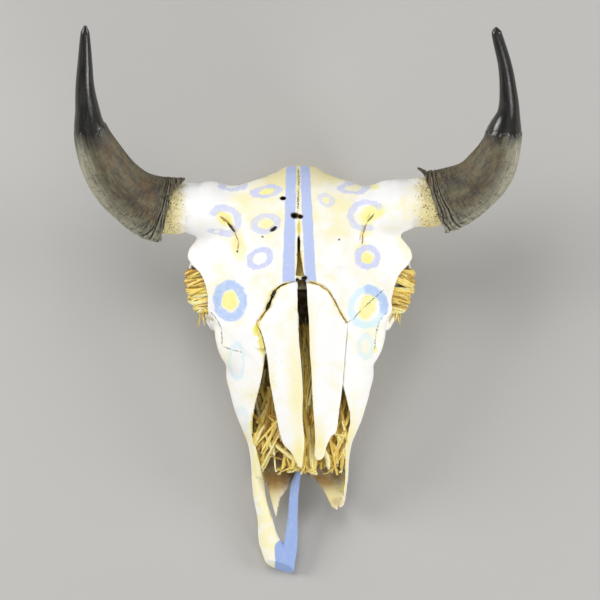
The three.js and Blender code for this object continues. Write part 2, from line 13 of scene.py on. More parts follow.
import bpy
import numpy as np
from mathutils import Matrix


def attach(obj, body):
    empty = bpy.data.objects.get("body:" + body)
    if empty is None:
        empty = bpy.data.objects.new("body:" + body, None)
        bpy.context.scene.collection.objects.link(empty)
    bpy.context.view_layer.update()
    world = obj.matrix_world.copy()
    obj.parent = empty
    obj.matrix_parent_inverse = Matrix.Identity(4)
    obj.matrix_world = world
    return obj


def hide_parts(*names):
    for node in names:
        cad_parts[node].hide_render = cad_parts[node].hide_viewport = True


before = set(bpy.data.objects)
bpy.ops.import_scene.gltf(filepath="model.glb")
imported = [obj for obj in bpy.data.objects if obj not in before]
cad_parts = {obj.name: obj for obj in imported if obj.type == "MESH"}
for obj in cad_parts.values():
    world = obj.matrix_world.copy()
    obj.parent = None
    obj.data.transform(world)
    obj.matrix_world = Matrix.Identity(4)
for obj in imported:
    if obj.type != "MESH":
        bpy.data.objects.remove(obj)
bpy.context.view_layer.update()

import openvdb
from mathutils import Matrix, Vector
from mathutils.geometry import tessellate_polygon

LOG = logging.getLogger("skull")
MM = 0.001
RECESS_REACH = 5.0
SKULL_EXTENT = (330.0, 420.0, 260.0)
WAVE_GAIN = 2.2  # brings averaged draws back to between about -1 and 1
SWELLS = (0.55, 26, 11)  # height and wavelength of the bone's swells, and their seed
GRAIN = (0.22, 9, 12)
Array = np.ndarray


class Side(Enum):
    """The animal's own sides, as the sign of X."""

    LEFT = 1
    RIGHT = -1

    @property
    def label(self) -> str:
        """The side as a word in a piece's name."""
        return self.name.lower()


# The frame that the skull is drawn in


@dataclass(frozen=True)
class FaceFrame:
    """Turns face-frame millimetres into the floor's frame, in metres."""

    tilt: float = math.radians(12)
    floor_depth: float = 185.0
    shift: tuple[float, float] = (2.92, 3.08)

    def matrix(self) -> Matrix:
        """The transform from face-frame millimetres to metres on the floor.

        Returns:
            A 4 by 4 matrix.
        """
        lift = self.floor_depth * math.cos(self.tilt)
        place = Matrix.Translation((self.shift[0], self.shift[1], lift))
        return Matrix.Scale(MM, 4) @ place @ Matrix.Rotation(self.tilt, 4, "X")

    def to_row(self, points: Array) -> Array:
        """Points of the face frame, in metres on the floor.

        Args:
            points: An (n, 3) array of millimetres.

        Returns:
            An (n, 3) array of metres.
        """
        turn = np.array(self.matrix())
        return points @ turn[:3, :3].T + turn[:3, 3]

    def floor_level(self, y: Any) -> Any:
        """The floor's height in the face frame at a place along Y."""
        return -self.floor_depth - math.tan(self.tilt) * y


FACE = FaceFrame()


# Curves through stations


class Profile:
    """A smooth curve through (position, value) stations that never overshoots them."""

    def __init__(self, *stations: tuple[float, float]) -> None:
        """Keep the stations and find the slope at each.

        Args:
            stations: Positions in rising order, each with its value.
        """
        self.at = np.array([s[0] for s in stations], float)
        self.value = np.array([s[1] for s in stations], float)
        rise = np.diff(self.value) / np.diff(self.at)
        slope = np.zeros(len(stations))
        slope[0], slope[-1] = rise[0], rise[-1]
        for i in range(1, len(stations) - 1):
            before, after = rise[i - 1], rise[i]
            slope[i] = 0.0 if before * after <= 0 else 2 / (1 / before + 1 / after)
        self.slope = slope

    def __call__(self, position: Any) -> Any:
        """The value at a position, or at each position of an array.

        Args:
            position: One position or many.

        Returns:
            The value at each.
        """
        spot = np.clip(np.asarray(position, float), self.at[0], self.at[-1])
        i = np.clip(np.searchsorted(self.at, spot, side="right") - 1, 0, len(self.at) - 2)
        width = self.at[i + 1] - self.at[i]
        s = (spot - self.at[i]) / width
        start = self.value[i] * (1 + 2 * s) + self.slope[i] * width * s
        end = self.value[i + 1] * (3 - 2 * s) + self.slope[i + 1] * width * (s - 1)
        return start * (1 - s) ** 2 + end * s**2


def smooth_path(points: Sequence[Sequence[float]], at: Array, closed: bool = False) -> Array:
    """A centripetal curve through points.

    Args:
        points: The points, in order.
        at: Places along the curve, from 0 to 1.
        closed: Whether the curve returns to its first point.

    Returns:
        One point of the curve for each place.
    """
    p = np.array(points, float)
    n = len(p)
    if closed:
        position = (at % 1.0) * n
        i = np.floor(position).astype(int) % n
        quad = [p[(i + k) % n] for k in (-1, 0, 1, 2)]
        s = (position - np.floor(position))[:, None]
    else:
        padded = np.vstack([2 * p[0] - p[1], p, 2 * p[-1] - p[-2]])
        position = np.clip(at, 0, 1) * (n - 1)
        i = np.minimum(np.floor(position).astype(int), n - 2)
        quad = [padded[i + k] for k in range(4)]
        s = (position - i)[:, None]
    x0, x1, x2, x3 = quad
    d0, d1, d2 = (np.maximum(np.linalg.norm(b - a, axis=1, keepdims=True) ** 0.5, 1e-4)
                  for a, b in ((x0, x1), (x1, x2), (x2, x3)))
    t1 = ((x1 - x0) / d0 - (x2 - x0) / (d0 + d1) + (x2 - x1) / d1) * d1
    t2 = ((x2 - x1) / d1 - (x3 - x1) / (d1 + d2) + (x3 - x2) / d2) * d1
    return x1 + t1 * s + (3 * (x2 - x1) - 2 * t1 - t2) * s**2 + (2 * (x1 - x2) + t1 + t2) * s**3


# Closed skins


@dataclass
class Skin:
    """A closed surface: its points, quads and triangles."""

    points: Array
    quads: Array
    triangles: Array

    def mirrored(self) -> "Skin":
        """The same surface on the other side of the skull."""
        return Skin(self.points * (-1, 1, 1), self.quads, self.triangles)


def loft(rings: Array) -> Skin:
    """A skin over rings of corners, closed by a fan at each end.

    Args:
        rings: An (n, m, 3) array: n rings of m corners.

    Returns:
        The closed skin.
    """
    count, sides, _ = rings.shape
    points = np.vstack([rings.reshape(-1, 3), rings[0].mean(0), rings[-1].mean(0)])
    i, j = np.meshgrid(np.arange(count - 1), np.arange(sides), indexing="ij")
    k = (j + 1) % sides
    quads = np.stack([i * sides + j, i * sides + k, (i + 1) * sides + k, (i + 1) * sides + j], -1)
    j = np.arange(sides)
    k = (j + 1) % sides
    first, last = count * sides, count * sides + 1
    top = (count - 1) * sides
    fans = np.vstack([np.stack([k, j, np.full(sides, first)], -1),
                      np.stack([top + j, top + k, np.full(sides, last)], -1)])
    return Skin(points, quads.reshape(-1, 4).astype(np.uint32), fans.astype(np.uint32))


def ring_angles(sides: int) -> Array:
    """Evenly spread angles round a ring."""
    return np.arange(sides) * 2 * math.pi / sides


def power(wave: Array, exponent: float) -> Array:
    """A wave raised to a power, its sign kept."""
    return np.sign(wave) * np.abs(wave) ** exponent


def bar(path: Sequence[Sequence[float]], width: Callable[[Any], Any], height: Callable[[Any], Any],
        up: Sequence[float] = (0, 0, 1), sides: int = 28, steps: int = 48) -> Skin:
    """A bar of oval section along a path.

    Args:
        path: Points of its middle line.
        width: Half size across, from 0 to 1 along the bar.
        height: Half size towards up, from 0 to 1 along the bar.
        up: The direction that height follows.
        sides: Corners of a ring.
        steps: Rings along the bar, less one.

    Returns:
        The closed skin.
    """
    t = np.linspace(0, 1, steps + 1)
    middle = smooth_path(path, t)
    ahead = smooth_path(path, np.minimum(t + 1e-3, 1)) - smooth_path(path, np.maximum(t - 1e-3, 0))
    ahead /= np.linalg.norm(ahead, axis=1, keepdims=True)
    across = np.cross(ahead, np.array(up, float))
    across /= np.linalg.norm(across, axis=1, keepdims=True)
    over = np.cross(across, ahead)
    angle = ring_angles(sides)
    w = np.asarray(width(t), float) * np.ones_like(t)
    h = np.asarray(height(t), float) * np.ones_like(t)
    rings = (middle[:, None] + across[:, None] * (w[:, None] * np.cos(angle))[..., None]
             + over[:, None] * (h[:, None] * np.sin(angle))[..., None])
    return loft(rings)


def turned(outline: Sequence[tuple[float, float]], origin: Sequence[float],
           outward: Sequence[float], sides: int = 56) -> Skin:
    """A turned solid about a line.

    Args:
        outline: Pairs of radius and height along the line.
        origin: A point of the line.
        outward: The line's direction.
        sides: Corners of a ring.

    Returns:
        The closed skin.
    """
    out = np.array(Vector(outward).normalized())
    side = np.array(Vector(outward).orthogonal().normalized())
    other = np.cross(out, side)
    angle = ring_angles(sides)
    circle = np.cos(angle)[:, None] * side + np.sin(angle)[:, None] * other
    rings = np.array([np.array(origin) + out * h + circle * max(r, 0.05) for r, h in outline])
    return loft(rings)


def prism(outline: Sequence[tuple[float, float]], low: float, high: float, axis: str = "Z") -> Skin:
    """A straight-sided solid over an outline.

    Args:
        outline: Corners, as X and Y for axis Z or as Y and Z for axis X.
        low: Where it starts along the axis.
        high: Where it ends along the axis.
        axis: "Z" or "X".

    Returns:
        The closed skin.
    """
    flat = np.array(outline, float)
    ends = []
    for level in (low, high):
        third = np.full(len(flat), level)
        columns = (flat[:, 0], flat[:, 1], third) if axis == "Z" else (third, flat[:, 0], flat[:, 1])
        ends.append(np.stack(columns, -1))
    skin = loft(np.array(ends))
    caps = [tuple(c) for c in fan_of(flat)]
    n = len(flat)
    triangles = [(a, b, c) for a, b, c in caps] + [(a + n, b + n, c + n) for a, b, c in caps]
    return Skin(np.vstack(ends), skin.quads, np.array(triangles, np.uint32))


def fan_of(flat: Array) -> list[tuple[int, int, int]]:
    """The triangles that fill a flat outline, which may be hollow.

    Args:
        flat: An (n, 2) array of corners.

    Returns:
        Triples of corner numbers.
    """
    corners = [Vector((float(a), float(b), 0.0)) for a, b in flat]
    return [tuple(t) for t in tessellate_polygon([corners])]


# The lattice that bone is carved in


def joined(a: Array, b: Array, reach: float) -> Array:
    """Two distance fields as one body, flowing into each other.

    Args:
        a: Distances to the first body.
        b: Distances to the second body.
        reach: How far the join's hollow spreads, in millimetres.

    Returns:
        Distances to both bodies as one.
    """
    if reach <= 0:
        return np.minimum(a, b)
    mix = np.clip(0.5 + 0.5 * (b - a) / reach, 0, 1)
    return b + (a - b) * mix - reach * mix * (1 - mix)


class Lattice:
    """A block of space that holds, at each point, the distance to a body's surface."""

    def __init__(self, low: Sequence[float], high: Sequence[float], step: float, reach: int = 8) -> None:
        """Make an empty block.

        Args:
            low: Its lowest corner.
            high: Its highest corner.
            step: The distance between points.
            reach: How many steps from a surface its distance is known.
        """
        self.step = step
        self.reach = reach
        self.start = np.floor(np.array(low) / step).astype(int)
        self.count = np.ceil(np.array(high) / step).astype(int) - self.start + 1
        self.transform = openvdb.createLinearTransform(voxelSize=step)
        self.values = np.full(self.count, step * reach, np.float32)
        axes = [(self.start[a] + np.arange(self.count[a])) * step for a in range(3)]
        self.x = axes[0][:, None, None].astype(np.float32)
        self.y = axes[1][None, :, None].astype(np.float32)
        self.z = axes[2][None, None, :].astype(np.float32)

    def distance(self, skin: Skin) -> Array:
        """Distances to a skin at every point, negative inside it.

        Args:
            skin: The skin.

        Returns:
            One distance for each lattice point.
        """
        grid = openvdb.FloatGrid.createLevelSetFromPolygons(
            points=skin.points.astype(np.float32), triangles=skin.triangles, quads=skin.quads,
            transform=self.transform, halfWidth=float(self.reach))
        values = np.empty(self.count, np.float32)
        grid.copyToArray(values, ijk=tuple(int(i) for i in self.start))
        return values

    def egg(self, centre: Sequence[float], half: Sequence[float]) -> Array:
        """Distances to an ellipsoid, near enough to blend with.

        Args:
            centre: Its middle.
            half: Its half sizes.

        Returns:
            One distance for each lattice point.
        """
        p = [(axis - c) for axis, c in zip((self.x, self.y, self.z), centre)]
        scaled = np.sqrt(sum((q / h) ** 2 for q, h in zip(p, half)))
        steep = np.sqrt(sum((q / h**2) ** 2 for q, h in zip(p, half))) + 1e-9
        return (scaled * (scaled - 1) / steep).astype(np.float32)

    def _field(self, body: Skin | Array) -> Array:
        """Distances to a body that is given as a skin or as distances already."""
        return self.distance(body) if isinstance(body, Skin) else body

    def add(self, body: Skin | Array, blend: float = 0.0) -> None:
        """Join a body on, with a hollow of the given reach between."""
        self.values = joined(self.values, self._field(body), blend)

    def carve(self, body: Skin | Array, blend: float = 0.0) -> None:
        """Cut a body out, with its rim rounded over the given reach."""
        self.values = -joined(-self.values, self._field(body), blend)

    def keep(self, body: Skin | Array) -> None:
        """Cut away all that lies outside a body."""
        self.values = np.maximum(self.values, self._field(body))

    def noise(self, wavelength: float, seed: int) -> Array:
        """Soft random waves between about -1 and 1.

        Args:
            wavelength: The rough distance between two swells.
            seed: Fixes the draw.

        Returns:
            One value for each lattice point.
        """
        random = np.random.default_rng(seed)
        coarse = [int(2 * extent / wavelength) + 5 for extent in SKULL_EXTENT]
        waves = random.uniform(-1, 1, coarse).astype(np.float32)
        for axis in range(3):
            world = (self.start[axis] + np.arange(self.count[axis])) * self.step
            place = (world + SKULL_EXTENT[axis]) / wavelength + 1
            base = np.floor(place).astype(int)
            s = place - base
            weights = np.zeros((len(place), coarse[axis]), np.float32)
            rows = np.arange(len(place))
            for k, weight in enumerate(((1 - s) ** 3 / 6, (3 * s**3 - 6 * s**2 + 4) / 6,
                                        (-3 * s**3 + 3 * s**2 + 3 * s + 1) / 6, s**3 / 6)):
                weights[rows, base - 1 + k] = weight
            waves = np.moveaxis(np.tensordot(weights, np.moveaxis(waves, axis, 0), axes=(1, 0)), 0, axis)
        return waves * WAVE_GAIN

    def roughen(self, height: float, wavelength: float, seed: int) -> None:
        """Raise and sink the surface in soft random waves."""
        self.values = self.values + height * self.noise(wavelength, seed)

    def blurred(self, radius: int) -> Array:
        """The distances, averaged over a cube of points.

        Args:
            radius: How many points to take on each side.

        Returns:
            One distance for each lattice point.
        """
        values = np.clip(self.values, -self.step * self.reach, self.step * self.reach)
        for axis in range(3):
            padded = np.concatenate([np.repeat(np.take(values, [0], axis), radius + 1, axis), values,
                                     np.repeat(np.take(values, [-1], axis), radius, axis)], axis)
            total = np.cumsum(padded, axis, dtype=np.float64)
            width = 2 * radius + 1
            upper = np.take(total, np.arange(width, total.shape[axis]), axis)
            lower = np.take(total, np.arange(0, total.shape[axis] - width), axis)
            values = ((upper - lower) / width).astype(np.float32)
        return values

    def sample(self, values: Array, points: Array) -> Array:
        """Values of a field at points, between lattice points.

        Args:
            values: One value for each lattice point.
            points: An (n, 3) array of millimetres.

        Returns:
            One value for each point.
        """
        place = points / self.step - self.start
        base = np.clip(np.floor(place).astype(int), 0, self.count - 2)
        s = np.clip(place - base, 0, 1)
        result = np.zeros(len(points))
        for corner in np.ndindex(2, 2, 2):
            weight = np.prod([s[:, a] if corner[a] else 1 - s[:, a] for a in range(3)], axis=0)
            i, j, k = (base[:, a] + corner[a] for a in range(3))
            result += weight * values[i, j, k]
        return result

    def height(self, x: float, y: float) -> float:
        """The highest place of the surface in the column over a point.

        Args:
            x: The point's place across.
            y: Its place along the skull.

        Returns:
            The surface's level.
        """
        i, j = (int(round(v / self.step)) - self.start[a] for a, v in enumerate((x, y)))
        column = self.values[i, j]
        k = int(np.nonzero(column < 0)[0][-1])
        part = column[k] / (column[k] - column[k + 1])
        return float((self.start[2] + k + part) * self.step)

    def groove(self, path: Sequence[tuple[float, float]], radius: Profile) -> None:
        """Cut a furrow along a path on the front of the surface.

        Args:
            path: The furrow's line.
            radius: Its half width, from 0 to 1 along it.
        """
        flat = smooth_path(path, np.linspace(0, 1, 4 * len(path)))
        points = [(x, y, self.height(x, y) - 0.3) for x, y in flat]
        self.carve(bar(points, radius, radius, steps=48), 1.0)

    def skin(self) -> tuple[Array, Array]:
        """The surface where the distance is nothing: its largest closed piece.

        Returns:
            Points in face-frame millimetres and quads, facing outwards.
        """
        grid = openvdb.FloatGrid(self.step * self.reach)
        grid.copyFromArray(np.ascontiguousarray(self.values, np.float32),
                           ijk=tuple(int(i) for i in self.start))
        grid.transform = self.transform
        points, _, quads = grid.convertToPolygons(isovalue=0, adaptivity=0)
        points, quads = largest_piece(np.asarray(points, float), np.asarray(quads, int))
        a, b, c, d = (points[quads[:, k]] for k in range(4))
        volume = np.einsum("ij,ij->", a, np.cross(b, c)) + np.einsum("ij,ij->", a, np.cross(c, d))
        return points, (quads if volume > 0 else quads[:, ::-1])


def largest_piece(points: Array, quads: Array) -> tuple[Array, Array]:
    """The connected piece with the most faces.

    Args:
        points: All points.
        quads: All faces.

    Returns:
        The points and faces of that piece alone.
    """
    label = np.arange(len(points))
    edges = np.vstack([quads[:, [0, 1]], quads[:, [1, 2]], quads[:, [2, 3]]])
    while True:
        lowest = np.minimum(label[edges[:, 0]], label[edges[:, 1]])
        before = label.copy()
        np.minimum.at(label, edges[:, 0], lowest)
        np.minimum.at(label, edges[:, 1], lowest)
        label = label[label]
        if np.array_equal(before, label):
            break
    face_label = label[quads[:, 0]]
    names, sizes = np.unique(face_label, return_counts=True)
    kept = quads[face_label == names[np.argmax(sizes)]]
    used, renumbered = np.unique(kept, return_inverse=True)
    return points[used], renumbered.reshape(kept.shape)


# The skull's lines, each a size at a place along Y


class Lines:
    """The named lines that every bone of the face is drawn from."""

    ridge = Profile((-300, -45), (-225, -24), (-160, -13), (-100, -7), (-33, -3), (27, 0), (80, 1), (120, 0),
                    (145, -7), (160, -18), (170, -31), (178, -52))
    bend = Profile((-300, 0.012), (-225, 0.0114), (-160, 0.0072), (-100, 0.005), (-33, 0.0031), (30, 0.0024),
                   (70, 0.0021), (120, 0.0012), (155, 0.0016), (178, 0.004))
    shield_half = Profile((-82, 54), (-62, 74), (-42, 92), (-24, 116), (-15, 121), (0, 123), (20, 122),
                          (35, 132), (48, 145), (58, 150.5), (66, 149), (80, 139), (88, 132), (110, 128),
                          (130, 124), (145, 106), (154, 78), (160, 62), (168, 37), (178, 18))
    shield_edge = Profile((-82, 8), (-42, 10), (0, 12), (40, 14), (60, 16), (90, 34), (120, 44), (150, 40),
                          (178, 20))
    face_half = Profile((-292, 58), (-262, 62), (-240, 64.5), (-213, 66.5), (-193, 70), (-180, 75),
                        (-158, 84), (-125, 93.5), (-87, 99.5), (-60, 109), (-40, 113), (-20, 108), (10, 84),
                        (40, 68))
    nasal_half = Profile((-300, 34), (-225, 42), (-160, 50), (-112, 57), (-33, 62), (40, 62))
    crest_level = Profile((-292, -100), (-240, -100), (-180, -97), (-120, -97), (-60, -92), (0, -86),
                          (40, -80))
    alveolar_half = Profile((-292, 50), (-240, 57), (-205, 63), (-130, 70), (-60, 74), (-30, 66), (40, 54))
    cavity_half = Profile((-320, 52), (-240, 51), (-200, 56), (-160, 62), (-120, 58), (-60, 48), (0, 38),
                          (14, 30))
    crown_height = 22.0
    palate_thickness = 7.0
    nasal_thickness = 6.5

    @classmethod
    def palate(cls, y: Any) -> Any:
        """The level of the palate's underside near the gums."""
        return FACE.floor_level(y) + cls.crown_height + 4

    @classmethod
    def palate_top(cls, y: Any) -> Any:
        """The level of the nose's floor."""
        return cls.palate(y) + 9 + cls.palate_thickness

    @classmethod
    def roof(cls, x: Any, y: Any) -> Any:
        """The height of the forehead and nose over a place."""
        return cls.ridge(y) - cls.bend(y) * x * x


class Face:
    """The skin of the whole face and the hollows in it, before it is parted into bones."""

    front, back = -292.0, 40.0
    suture_middle, suture_side, suture_reach = -36.0, -66.0, 115.0
    lap, sunk = 5.0, 1.0

    @staticmethod
    def outline(y: float) -> Array:
        """The face's outline across Y, from the ridge round to the palate and back.

        Args:
            y: The place along the skull.

        Returns:
            An (n, 3) array of corners.
        """
        nasal, wide = float(Lines.nasal_half(y)), float(Lines.face_half(y))
        crest, gums, palate = float(Lines.crest_level(y)), float(Lines.alveolar_half(y)), Lines.palate(y)
        half = [(0, Lines.ridge(y)), (nasal * 0.5, Lines.roof(nasal * 0.5, y)),
                (nasal, Lines.roof(nasal, y)), ((nasal + wide) / 2 + 3,
                                                (Lines.roof(nasal, y) + crest) / 2 + 8), (wide, crest),
                (gums + 1, palate + 16), (gums - 4, palate), (gums - 27, palate + 1), (0, palate + 9)]
        other = [(-x, z) for x, z in reversed(half[1:-1])]
        return np.array([(x, y, float(z)) for x, z in half + other])

    @classmethod
    def block(cls, front: float | None = None, back: float | None = None) -> Skin:
        """The face as one solid between two places along Y.

        Args:
            front: Where it starts, if not at the face's own end.
            back: Where it ends, if not at the face's own end.

        Returns:
            The closed skin.
        """
        ends = (cls.front if front is None else front, cls.back if back is None else back)
        places = np.linspace(0, 1, 96, endpoint=False)
        rings = [smooth_path(cls.outline(y), places, closed=True) for y in np.linspace(*ends, 110)]
        return loft(np.array(rings))

    @staticmethod
    def cheek(block: "Lattice", sign: float) -> None:
        """Swell the cheek and the flank below the eye, on both sides of the suture."""
        block.add(block.egg((sign * 99, -16, -98), (23, 34, 18)), 8)
        block.add(block.egg((sign * 80, -42, -66), (33, 50, 31)), 16)

    @classmethod
    def hollow(cls) -> Skin:
        """The hollow of the nose, open at the front.

        Returns:
            The closed skin.
        """
        y = np.linspace(-330, 14, 90)[:, None]
        angle = ring_angles(72)[None, :]
        top = Lines.ridge(y) - Lines.nasal_thickness - 3
        bottom = Lines.palate_top(y)
        x = Lines.cavity_half(y) * power(np.cos(angle), 0.7)
        z = (top + bottom) / 2 + (top - bottom) / 2 * power(np.sin(angle), 0.7)
        z = np.where(np.sin(angle) > 0, z - Lines.bend(y) * x * x * 0.8, z)
        return loft(np.stack([x, np.broadcast_to(y, x.shape), z], -1))

    @classmethod
    def suture_line(cls, x: Any) -> Any:
        """How far back the suture between cranium and maxillae lies at a place across."""
        return cls.suture_middle + (cls.suture_side - cls.suture_middle) / cls.suture_reach * x

    @classmethod
    def dip(cls, block: "Lattice", way: int) -> None:
        """Let a bone sink gently under its neighbour past the suture.

        Args:
            block: The bone.
            way: 1 for a bone that lies in front of the suture, -1 for one behind it.
        """
        past = way * (block.y - cls.suture_line(np.abs(block.x))) / cls.lap
        block.values = block.values + (cls.sunk * np.clip(past, 0, 1) ** 2).astype(np.float32)

    @classmethod
    def before_suture(cls, gap: float) -> Skin:
        """The space in front of that suture.

        Args:
            gap: How far short of the suture it ends.

        Returns:
            The closed skin.
        """
        far = 200.0
        side = cls.suture_line(far) - gap
        return prism([(0, cls.suture_middle - gap), (far, side), (far, -420), (-far, -420), (-far, side)],
                     -300, 100)


# Bones


@dataclass
class Bone:
    """One bone of the skull: how finely it is carved and what it stands for."""

    name: str
    replaces: tuple[str, ...]
    step: float = 2.0

    def build(self, finish: bpy.types.Material) -> None:
        """Carve the bone, skin it and dress it.

        Args:
            finish: The bone's material.
        """
        lattice = self.carved()
        points, quads = lattice.skin()
        piece = mesh_object(self.name, FACE.to_row(points), quads)
        # The finish reads this recess measure and paints shade into the bone's hollows and holes from it.
        radius = max(2, round(RECESS_REACH / lattice.step))
        recess = lattice.sample(lattice.values, points) - lattice.sample(lattice.blurred(radius), points)
        store(piece, "recess", recess / RECESS_REACH)
        finish_piece(piece, self.replaces, finish)

    def carved(self) -> Lattice:
        """The bone in its lattice: each bone has its own way."""
        raise NotImplementedError


def mesh_object(name: str, points: Array, *faces: Array) -> bpy.types.Object:
    """A smooth mesh object at the origin.

    Args:
        name: The piece's name.
        points: Its points, in metres.
        faces: Arrays of corner numbers, each with one face in a row.

    Returns:
        The object, in the scene.
    """
    mesh = bpy.data.meshes.new(name)
    sizes = np.concatenate([np.full(len(rows), rows.shape[1]) for rows in faces])
    corners = np.concatenate([rows.ravel() for rows in faces])
    mesh.vertices.add(len(points))
    mesh.vertices.foreach_set("co", points.astype(np.float32).ravel())
    mesh.loops.add(len(corners))
    mesh.loops.foreach_set("vertex_index", corners.astype(np.int32))
    mesh.polygons.add(len(sizes))
    mesh.polygons.foreach_set("loop_start", (np.cumsum(sizes) - sizes).astype(np.int32))
    mesh.polygons.foreach_set("use_smooth", np.ones(len(sizes), bool))
    mesh.update(calc_edges=True)
    mesh.validate()
    piece = bpy.data.objects.new(name, mesh)
    bpy.context.scene.collection.objects.link(piece)
    return piece


def store(piece: bpy.types.Object, name: str, values: Array, kind: str = "FLOAT") -> None:
    """Keep a value for each point of a piece, for its finish to read.

    Args:
        piece: The piece.
        name: The attribute's name.
        values: One value or vector for each point.
        kind: The attribute's type.
    """
    attribute = piece.data.attributes.new(name, kind, "POINT")
    key = "vector" if kind == "FLOAT_VECTOR" else "value"
    attribute.data.foreach_set(key, np.asarray(values, np.float32).ravel())


def finish_piece(piece: bpy.types.Object, nodes: Sequence[str], finish: bpy.types.Material) -> None:
    """Dress a piece and let it ride on the skull, in place of the plain solids that it stands for.

    Args:
        piece: The finished piece.
        nodes: The plain solids that it replaces.
        finish: Its material.
    """
    if not piece.data.materials:
        piece.data.materials.append(finish)
    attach(piece, "root")
    if nodes:
        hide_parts(*nodes)
    LOG.info("%s: %d faces", piece.name, len(piece.data.polygons))


@dataclass
class Cranium(Bone):
    """Forehead, horn cores, eye sockets, cheek arches, braincase and neck joint."""

    name: str = "cranium_bone"
    replaces: tuple[str, ...] = ("cranium", "zygomatic_arch_left", "zygomatic_arch_right")
    step: float = 2.2
    orbit: tuple[float, float, float] = (135.0, 14.0, -72.0)
    orbit_out: tuple[float, float, float] = (0.92, -0.26, 0.28)
    orbit_rim: float = 41.0
    orbit_mouth: float = 33.5
    orbit_depth: float = 42.0
    core_right: tuple[tuple[float, ...], ...] = (
        (-86, 122, -44), (-120, 122, -44), (-136, 122, -44), (-151, 125, -44), (-165, 123, -44),
        (-181, 120.5, -44), (-197, 122, -43), (-212, 127, -40))
    core_left: tuple[tuple[float, ...], ...] = (
        (86, 122, -44), (120, 124, -44), (136, 127, -43), (151, 129.7, -42), (167, 130.5, -41),
        (182, 131, -40), (200, 134, -38), (216, 140, -34))
    core_radius: tuple[float, ...] = (28, 37, 35.3, 32.3, 33.4, 32, 28.5, 20)

    def shield(self) -> Skin:
        """The frontal bones, from the root of the nose to the crest.

        Returns:
            The closed skin.
        """
        y = np.linspace(-82, 178, 150)[:, None]
        angle = ring_angles(140)[None, :]
        half = Lines.shield_half(y)
        x = half * power(np.cos(angle), 0.8)
        rim = Lines.roof(half, y) - Lines.shield_edge(y) / 2
        lift = np.abs(np.sin(angle)) ** 0.55
        above = rim + (Lines.roof(x, y) - rim) * lift
        below = rim - (Lines.shield_edge(y) / 2 + 14) * lift
        z = np.where(np.sin(angle) >= 0, above, below)
        return loft(np.stack([x, np.broadcast_to(y, x.shape), z], -1))

    def core(self, side: Side) -> Skin:
        """The bony core under a horn sheath.

        Args:
            side: The horn's side.

        Returns:
            The closed skin.
        """
        path = self.core_left if side is Side.LEFT else self.core_right
        radius = Profile(*((i / (len(self.core_radius) - 1), r) for i, r in enumerate(self.core_radius)))
        return bar(path, radius, radius, sides=64, steps=60)

    def arch(self) -> Skin:
        """The cheek arch on the left.

        Returns:
            The closed skin.
        """
        return bar([(112, -34, -100), (132, -4, -116), (141, 26, -119), (139, 56, -119), (128, 80, -117),
                    (106, 98, -110)], Profile((0, 10), (0.4, 8), (0.8, 8), (1, 12)),
                   Profile((0, 18), (0.4, 12), (0.8, 10), (1, 14)))

    def base(self, block: Lattice) -> None:
        """The underside: the bar to the neck joint, its processes, bullae and jaw joints.

        Args:
            block: The lattice that the bone is carved in.
        """
        block.add(bar([(0, -30, -140), (0, 50, -158), (0, 120, -170), (0, 164, -168)],
                      Profile((0, 12), (0.5, 20), (1, 30)), Profile((0, 10), (0.5, 12), (1, 15))), 8)
        wing = bar([(30, -58, -142), (29, -20, -150), (27, 20, -152), (24, 60, -152)], lambda t: 3.5,
                   Profile((0, 10), (0.4, 20), (0.8, 17), (1, 8)))
        process = bar([(76, 132, -136), (72, 142, -170), (64, 150, -222)],
                      Profile((0, 20), (0.5, 13), (1, 8)), Profile((0, 14), (0.5, 10), (1, 7)), up=(0, 1, 0))
        hook = bar([(20, 52, -150), (19, 48, -164), (21, 42, -174)], lambda t: 2.6, lambda t: 4.0,
                   up=(0, 1, 0))
        for skin in (wing, process, hook):
            block.add(skin, 8)
            block.add(skin.mirrored(), 8)
        for sign in (1, -1):
            block.add(block.egg((sign * 46, 104, -164), (14, 22, 22)), 4)
            block.add(block.egg((sign * 94, 90, -112), (40, 24, 15)), 8)
            block.carve(block.egg((sign * 92, 82, -137), (26, 13, 10)), 4)
            block.add(block.egg((sign * 29, 154, -164), (23, 19, 25)), 11)
            block.carve(block.egg((sign * 53, 148, -158), (9, 8, 14)), 6)
            block.carve(block.egg((sign * 68, 112, -128), (9, 7, 7)), 3)

    def carved(self) -> Lattice:
        """The whole bone, carved.

        Returns:
            The lattice that holds it.
        """
        block = Lattice((-232, -76, -226), (232, 186, 14), self.step)
        block.add(self.shield())
        block.add(Face.block(-120, 40), 10)
        block.add(block.egg((0, 118, -98), (121, 50, 68)), 14)
        block.add(block.egg((0, 92, -88), (62, 76, 70)), 10)
        block.add(block.egg((0, 166, -66), (26, 11, 16)), 12)
        self.base(block)
        ring = turned([(0, -66), (47, -66), (45, -36), (self.orbit_rim + 1, -8), (self.orbit_rim - 1, -1),
                       (self.orbit_rim - 4, 1), (0, 0)], self.orbit, self.orbit_out)
        for skin in (ring, ring.mirrored()):
            block.add(skin, 7)
        for sign in (1, -1):
            Face.cheek(block, sign)
            block.carve(block.egg((sign * 116, 76, -92), (46, 30, 22)), 8)
        for side in Side:
            block.add(self.core(side), 10)
        for skin in (self.arch(), self.arch().mirrored()):
            block.add(skin, 8)
        self.hollows(block)
        self.surface(block)
        Face.dip(block, -1)
        block.carve(Face.before_suture(Face.lap))
        block.carve(floor_block())
        return block

